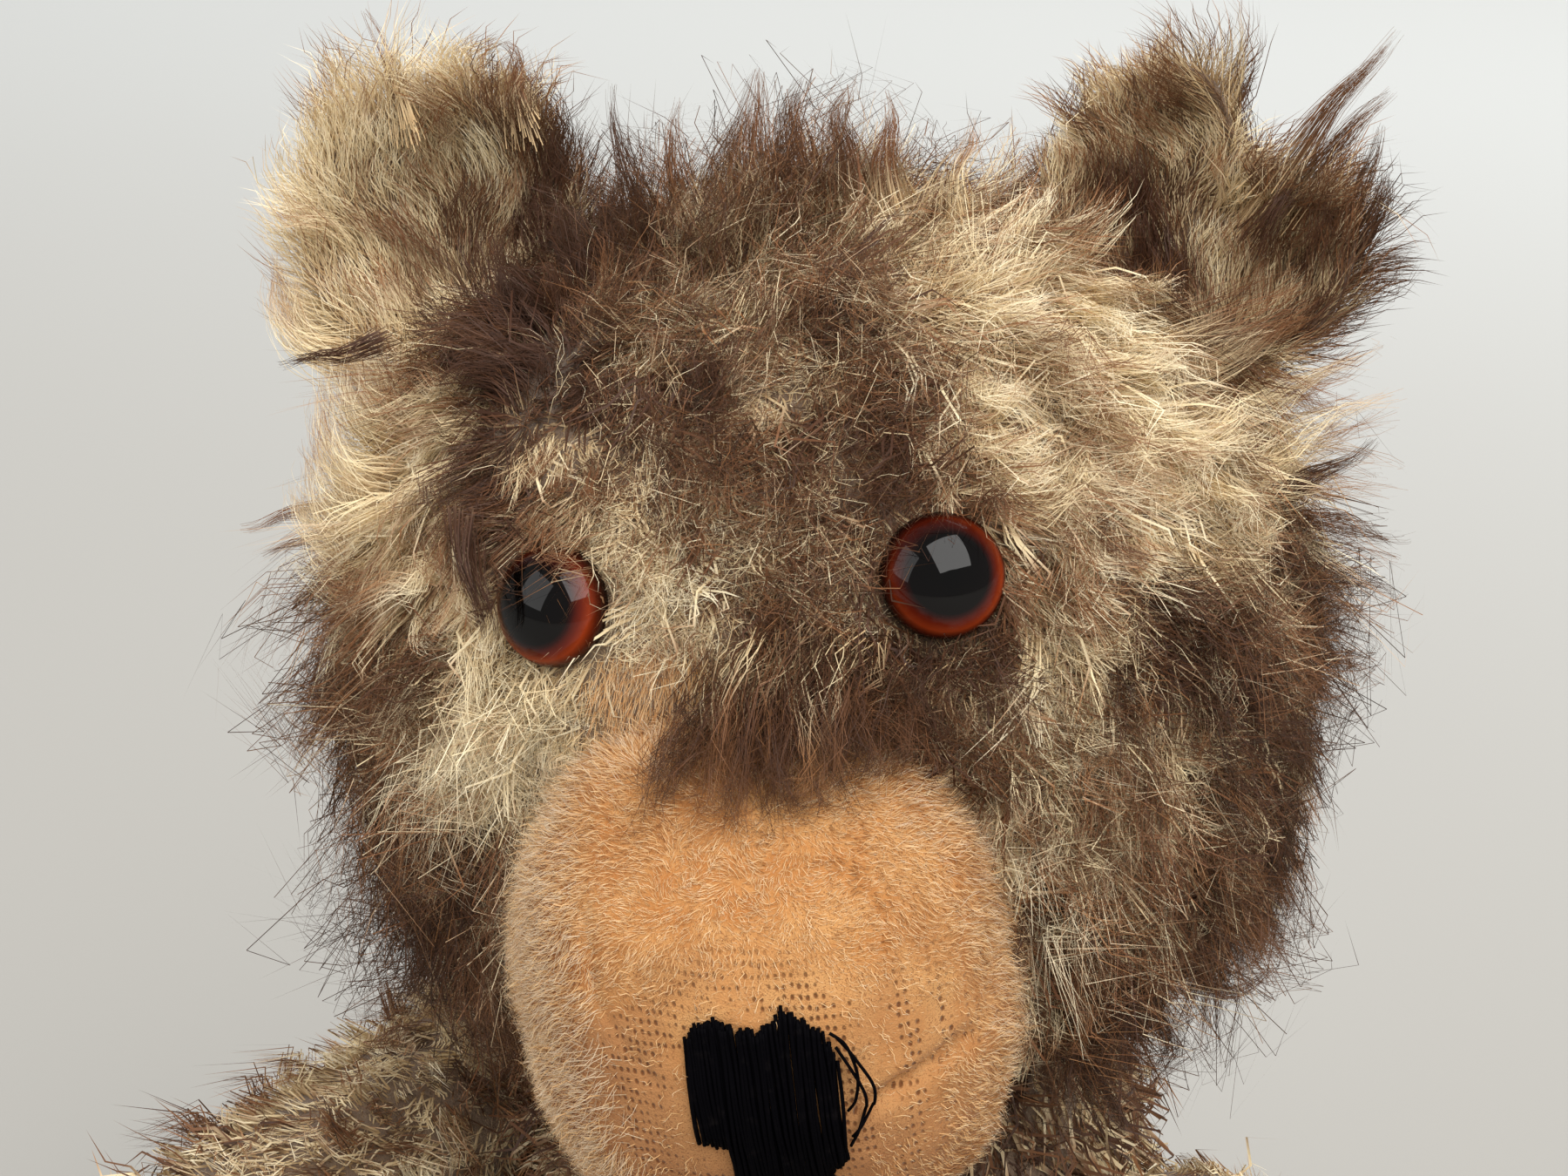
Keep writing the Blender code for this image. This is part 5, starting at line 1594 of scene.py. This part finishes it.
def fringeLocks():
    # over the top of the muzzle from the bridge of the nose, and two thin trailing tendrils
    rng = np.random.default_rng(8)
    lines = []
    for k in range(96):
        x = rng.uniform(-6, 18)
        z = rng.uniform(7, 15) - abs(x - 6) * 0.3
        y = skullFront(x, z)
        side, sweep = rng.uniform(-1.7, 1.4), rng.uniform(-6.5, 3.5)
        endX, low = x + side * 4, 1.5 + abs(x - 3) * 0.16 + rng.uniform(-1.2, 4.8)
        ahead = -57.5 + max(0, x - 6) * 0.8 + rng.uniform(0, 3)
        lines.append(([
            (x, y, z), (x + side + rng.uniform(-1, 1), y - 3.5, z - 1),
            ((x + endX) / 2 + rng.uniform(-2.6, 2.6), (y + ahead) / 2 - rng.uniform(1.5, 3.5),
             (z + low) / 2 + rng.uniform(0.8, 2.8)),
            (endX, ahead, low + 0.4),
            (endX + sweep * 0.5, ahead - rng.uniform(-0.4, 0.6), low + rng.uniform(-1.0, 0.6)),
            (endX + sweep, ahead + rng.uniform(0, 1.5), low + rng.uniform(-1.4, 1.6)),
        ], 22, 2.4, rng.uniform(0.7, 1.1) if k % 9 else rng.uniform(0.4, 0.6)))
    return lines + [
        ([(2, -44, 11), (-2, -50, 9.5), (-6, -53, 5), (-9.3, -55, 0.5), (-11.2, -57, -1.5)],
         22, 1.1, 0.85),
        ([(1, -44, 10), (-3, -51, 7.5), (-7, -54, 4.6), (-8.3, -56, 1.8)], 14, 1.0, 0.8),
    ]


def jawLocks():
    # curled brown locks that hang down the bear's left cheek
    rng = np.random.default_rng(17)
    lines = []
    for k in range(56):
        x, z = rng.uniform(20, 45), rng.uniform(-30, 6)
        y = skullFront(x, z)
        away, low = rng.uniform(1.5, 3.5), rng.uniform(6, 10)
        sway, tip = rng.uniform(-2, 2), rng.uniform(-3, 3)
        lines.append(([
            (x, y + 0.5, z), (x + sway * 0.6 + 0.5, y - away, z - low * 0.3),
            (x + sway, y - away - 0.6, z - low * 0.7),
            (x + sway * 0.3 + tip * 0.6, y - away * 0.8, z - low),
            (x + sway * 0.2 + tip, y - away * 0.9, z - low * (1 + 0.06 * tip)),
        ], 24, 1.9, rng.uniform(0.3, 1.0)))
    return lines


outerTips = [
    # where the tufts down the bear's left side end, and their tone
    (60.5, 0, 34, 0.75), (61.2, -2, 30, 0.5), (62.0, -4, 24.5, 0.45), (61.5, -5, 20, 0.35),
    (62.2, -5, 12, 0.6), (62.8, -6, 5, 0.8), (61.6, -6, 0, 0.9), (60.2, -6, -4, 0.95),
    (58.6, -6, -8, 0.9), (54.0, -8, -10.5, 0.7), (51.6, -8, -15, 0.6), (50.6, -10, -20, 0.6),
    (51.5, -10, -25, 0.9), (49.5, -12, -31, 0.8), (46.5, -14, -35, 0.85), (42.5, -16, -37, 0.9),
]


def outerLocks():
    # ragged curls along the bear's left side, from under the ear to the jaw
    rng = np.random.default_rng(23)
    half = skullSet["half"]
    lines = []
    for x, y, z, tone in outerTips:
        for k in range(4):
            tip = np.array((x, y, z)) + rng.uniform(-1.6, 1.6, 3) - (0.9 * k, 0, 0)
            high = tip[2] + rng.uniform(2, 6) - (9 if tip[2] > 15 else 0)
            size = skullSize(np.clip(high / half[2], -0.93, 0.93))
            far = np.array((half[0] * size * rng.uniform(0.9, 0.97), -rng.uniform(2, 14), high))
            bend = (far + tip) / 2 + rng.uniform(-1.5, 1.5, 3) + (1.0, 0, 0)
            near = far * 0.7 + tip * 0.3 + (0.6, 0, 0)
            curl = tip + (rng.uniform(-1.6, 1.2), 0, rng.uniform(-2.0, 1.4))
            lines.append(([far, near, bend, tip, curl], 34, 2.4, tone + rng.uniform(-0.25, 0.1)))
    return lines


for name, lines, width, frizz, turns, seed in (
    ("headLocks", headLocks, 0.13, 0.5, 5.0, 301), ("sideLocks", sideLocks(), 0.1, 0.9, 5.0, 303),
    ("bridgeFringe", fringeLocks(), 0.1, 1.5, 15.0, 302),
    ("jawLocks", jawLocks(), 0.1, 1.5, 9.0, 304),
    ("outerLocks", outerLocks(), 0.1, 1.0, 9.0, 305),
):
    layLocks(name, lines, {"Width": width * mm, "Frizz": frizz * mm, "Turns": turns, "Seed": seed})


# pads, eyes and stitching

def mergedCopy(node, name, finish, *steps):
    made = linked(name, nodes[node].data.copy())
    made.data.materials.clear()
    made.data.materials.append(finishes[finish])
    reworked(made.data, merged(0.01), *steps)
    made.data.shade_smooth()
    return made


def makePad(name):
    place, title = limbFrame(name), titled(name)
    made = remeshed(mergedCopy(name + "_pad", title + "Pad", "shortPile"), 0.85)
    p, n = inFrame(made, place)
    storeField(made.data, "rows", p / 0.95)
    storeField(made.data, "wear", ramped(softNoise(p, 6, 24), -0.1, 0.3))
    storeField(made.data, "deep", ramped(softNoise(p, 7, 25), 0.1, 0.5) * 0.6)
    out = (-1.0, 0, 0) if name.startswith("arm") else (0, 1.0, 0)
    flow = np.array((0.1, 0.3, -0.5)) + softWays(p, 4, 31)
    field = fieldOf(
        n, place, flow, 0.4 + softNoise(p, 8, 34) * 0.4, 1.4 + softNoise(p, 5, 35) * 0.4,
        n @ out > 0.4,
    )
    growFuzz(title + "PadFuzz", made, field, "pad", name)
    declared(made, name, "short_pile", name + "_pad", fill=0.5)


for name in limbDrop:
    makePad(name)
print("pads made")


def eyeFrame(side):
    half, power = skullSet["half"], skullSet["crown"]
    x, z = side * eyeSet["across"], eyeSet["up"]
    row = skullSize(z / half[2])
    y = -half[1] * math.sqrt(row ** 2 - (x / half[0]) ** 2)
    fall = (z / half[2]) ** (power - 1) * row ** (2 - power) / half[2]
    outward = Vector((x / half[0] ** 2, y / half[1] ** 2, fall)).normalized()
    turn = outward.to_track_quat("Z", "Y").to_matrix().to_4x4()
    return headPlace @ Matrix.Translation(Vector((x, y, z)) * mm) @ turn


def makeEye(name):
    place, radius = eyeFrame(sides[name]), eyeSet["radius"]
    profile = [(0.3, 0.5), (0.3, 0.93), (0.55, 0.985), (eyeSet["rim"], 1.0)]
    for degrees in np.linspace(4, 87, 24):
        a = math.radians(degrees)
        profile.append((eyeSet["rim"] + eyeSet["dome"] * math.sin(a), math.cos(a)))
    rows = [
        ovalRow((0, 0, z), (radius * size, 0, 0), (0, radius * size, 0), 64) for z, size in profile
    ]
    made = skinThrough(f"eye{name.title()}", rows, place, "glass")
    p = unturned(pointsOf(made.data), place)
    storeField(made.data, "ring", np.linalg.norm(p[:, :2], axis=1) / radius)
    world = turnedWay(p / radius, place)
    # painted light and shade on the glass: brighter towards +x and towards the bottom, darker at
    # the top
    storeField(made.data, "lit", 0.5 + 0.75 * (world[:, 0] * 0.6 - world[:, 2] * 0.7))
    declared(made, "head", "amber_glass", f"eye_{name}")


for name in sides:
    makeEye(name)


def makeThreadTree():
    # rounds a line of points into a thread, thinner where "wide" is less
    tree, given = newTree("thread", {"Radius": 0.3 * mm, "Sides": 6, "Finish": "material"})
    line = linesToCurve(tree, given)
    ring = makeNode(tree, "GeometryNodeCurvePrimitiveCircle", {"mode": "RADIUS"}, {
        "Resolution": given.out("Sides"), "Radius": given.out("Radius"),
    })
    tube = makeNode(tree, "GeometryNodeCurveToMesh", None, {
        0: line, "Profile Curve": ring, "Scale": named(tree, "wide"), "Fill Caps": True,
    })
    closeTree(tree, tube, given.out("Finish"))
    return tree


threadTree = makeThreadTree()
muzzleTree = BVHTree.FromPolygons(
    [Vector(p) for p in muzzlePoints], [tuple(f.vertices) for f in muzzle.data.polygons]
)


def layThreads(name, lines, radius, node):
    # lines are points in the head's frame, each with its width
    paths, wide = zip(*lines)
    paths = [turned(np.array(points), headPlace) for points in paths]
    values = {"Radius": radius * mm, "Sides": 6, "Finish": finishes["thread"]}
    holder = lineObject(paths, {"wide": wide})
    made = runTree(holder, threadTree, values, name, "head", "black_thread")
    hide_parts(node)


def onMuzzle(x, z, lift):
    # a point in front of the muzzle's cloth, in millimetres of the head's frame
    hit, _, _, _ = muzzleTree.ray_cast(Vector((x, -90, z)), Vector((0, 1, 0)))
    return np.array(hit) + np.array((0.15, -1.0, -0.1)) * lift


noseSet = {
    # across, top and bottom of the stitching, in millimetres
    "outline": [
        (-6.1, -15.8, -26.0), (-4.7, -14.3, -26.4), (-3.4, -13.7, -27.0), (-3.2, -13.8, -33.0),
        (-1.0, -14.9, -33.2), (1.1, -15.1, -33.0), (3.1, -13.3, -32.8), (4.6, -14.6, -32.2),
        (6.2, -15.9, -30.0), (7.4, -19.2, -28.6),
    ],
    "threads": (52, 44), "radius": 0.21, "uneven": 0.35,
    # loose loops at its side: across, up and how far each point stands off the cloth
    "loops": [
        [(7.6, -16.8, 0.6), (9.0, -18.6, 1.5), (10.3, -21.4, 2.3),
         (9.6, -24.2, 1.8), (7.9, -26.6, 0.6)],
        [(7.4, -17.6, 0.6), (8.6, -19.8, 1.3), (9.5, -22.4, 1.9),
         (8.8, -25.0, 1.5), (7.6, -27.6, 0.6)],
        [(7.0, -16.2, 0.6), (8.3, -17.4, 1.1), (9.0, -20.0, 1.5),
         (8.6, -22.6, 1.2), (7.8, -24.0, 0.5)],
    ],
}
mouthSet = {"low": -33, "aside": 1, "down": (3.2, 5.6), "half": 8.5, "radius": 0.4}


def makeNose():
    rng = np.random.default_rng(5)
    across, tops, lows = np.array(noseSet["outline"]).T
    uneven, lines = noseSet["uneven"], []
    for layer, count in enumerate(noseSet["threads"]):
        for k in range(count):
            x = across[0] + (across[-1] - across[0]) * (k + 0.5 * layer) / count
            top = np.interp(x, across, tops) + rng.uniform(-uneven, uneven) - 0.3 * layer
            low = np.interp(x, across, lows) + rng.uniform(-uneven, uneven) + 0.4 * layer
            lean, bow = rng.uniform(-0.5, 0.5), rng.uniform(-0.25, 0.25)
            points = []
            for t in np.linspace(0, 1, 20):
                bulge = math.sin(math.pi * min(max(t, 0.03), 0.97)) ** 0.4
                lift = 0.15 + (0.55 + 0.4 * layer) * bulge
                aside = lean * (t - 0.5) + bow * math.sin(math.pi * t)
                points.append(onMuzzle(x + aside, top + (low - top) * t, lift))
            lines.append((points, rng.uniform(0.85, 1.1)))
    for loop in noseSet["loops"]:
        lines.append(([onMuzzle(*at) for at in finerStations(loop, 30)], 0.75))
    layThreads("noseStitches", lines, noseSet["radius"], "nose_stitching")


def makeMouth():
    lines = []
    low, aside, (fork, corner) = mouthSet["low"], mouthSet["aside"], mouthSet["down"]
    for side in (-1, 1):
        path = [
            (0.25 * side, low + 0.5), (0.25 * side, low - fork),
            (side * mouthSet["half"], low - corner),
        ]
        points = [
            onMuzzle(x0 + (x1 - x0) * t + aside, z0 + (z1 - z0) * t, 0.3)
            for (x0, z0), (x1, z1) in zip(path, path[1:]) for t in np.linspace(0, 1, 10)
        ]
        lines.append((points, 1.0))
    layThreads("mouthStitches", lines, mouthSet["radius"], "mouth_stitching")


makeNose()
makeMouth()
print("eyes and stitching made")


# fillings and joint pieces

fillings = {"head_stuffing": "head", "body_stuffing": "torso"}
fillings.update({name + "_stuffing": name for name in limbDrop})
fillingSet = {"longest": 4, "dent": (0.25, 0.6)}


def triangulated(bm):
    bmesh.ops.triangulate(bm, faces=bm.faces)


def divided(bm):
    long = [edge for edge in bm.edges if edge.calc_length() > fillingSet["longest"] * mm]
    bmesh.ops.subdivide_edges(bm, edges=long, cuts=1)


for node, body in fillings.items():
    made = mergedCopy(node, titled(node), "woodWool")
    reworked(made.data, triangulated, divided, triangulated)
    p, n = pointsOf(made.data), normalsOf(made.data)
    least, more = fillingSet["dent"]
    dent = least + more * np.abs(softNoise(p / mm, 5, 200))
    setPoints(made.data, p - n * dent[:, None] * mm)
    declared(made, body, "wood_wool", node)

for node, obj in nodes.items():
    steel = any(word in node for word in ("washer", "pin", "eye_wire"))
    finish = "board" if "disc" in node else "steel" if steel else None
    for slot in obj.material_slots if finish else ():
        slot.material = finishes[finish]

removed(*strands.values())
print("fillings and joint pieces finished")


# floor, light and camera

stageSet = {
    # the floor's colours near the bear and far off: painted shade near it, painted light far away
    "reach": 3.0, "floor": [(0.405, 0.397, 0.375), (0.62, 0.64, 0.637)], "fade": (0.15, 1.15),
    "world": (1.0, 0.985, 0.96), "worldLevel": 0.42, "seen": (0.70, 0.69, 0.66),
    "lights": [
        # place, size, watts, colour; all are then moved off from the middle by "far"
        ((0.62, -0.34, 1.15), 1.1, 20.5, (1.0, 0.985, 0.96)),
        ((-0.60, -0.85, 0.75), 0.9, 5.2, (1.0, 0.99, 0.98)),
        ((-0.1, 1.0, 0.9), 0.8, 4.5, (1.0, 0.98, 0.95)),
    ],
    "middle": (0, 0, 0.13), "far": 2.2,
}
cameraSet = {
    "place": (0.12936, -0.20563, 0.27704), "turn": (1.163964, 0.008271, 0.525164), "lens": 62.3,
}


def makeStage():
    reach, (near, far) = stageSet["reach"], stageSet["floor"]
    corners = [(-reach, -reach, 0), (reach, -reach, 0), (reach, reach, 0), (-reach, reach, 0)]
    floor = newObject("floor", corners, [(0, 1, 2, 3)])
    made, tree = newMaterial("paleFloor")
    place = objectPlace(tree, 1.0)
    across, back, _ = parts(place)
    # painted light and shade: the floor darkens towards the bear and to the right, and lightens far
    # off
    back = back + grain(place, 2.0, 3) * 0.06 - across * 0.12
    colour = mixed(smoothStep(back, *stageSet["fade"]), near, far)
    floor.data.materials.append(finished(made, {"Base Color": colour, "Roughness": 0.8}))
    world = bpy.data.worlds.new("softRoom")
    bpy.context.scene.world = world
    world.use_nodes = True
    tree = world.node_tree
    glow = tuple(c * stageSet["worldLevel"] for c in stageSet["world"])
    colour = mixed(makeNode(tree, "ShaderNodeLightPath"), glow, stageSet["seen"])
    tree.links.new(colour.socket, tree.nodes["Background"].inputs["Color"])
    middle, far = Vector(stageSet["middle"]), stageSet["far"]
    for index, (place, size, watts, colour) in enumerate(stageSet["lights"]):
        lamp = bpy.data.lights.new(f"softLight{index}", "AREA")
        lamp.shape, lamp.size = "SQUARE", size * far
        lamp.energy, lamp.color = watts * far ** 2, colour
        away = Vector(place) - middle
        holder = linked(lamp.name, lamp)
        holder.location = middle + away * far
        holder.rotation_euler = away.to_track_quat("Z", "Y").to_euler()


def makeCamera():
    camera = bpy.data.cameras.new("camera")
    camera.lens, camera.sensor_width, camera.clip_start = cameraSet["lens"], 36, 0.01
    holder = linked("camera", camera)
    holder.location, holder.rotation_euler = cameraSet["place"], cameraSet["turn"]
    bpy.context.scene.camera = holder


makeStage()
makeCamera()
bpy.context.scene.view_settings.view_transform = "Standard"
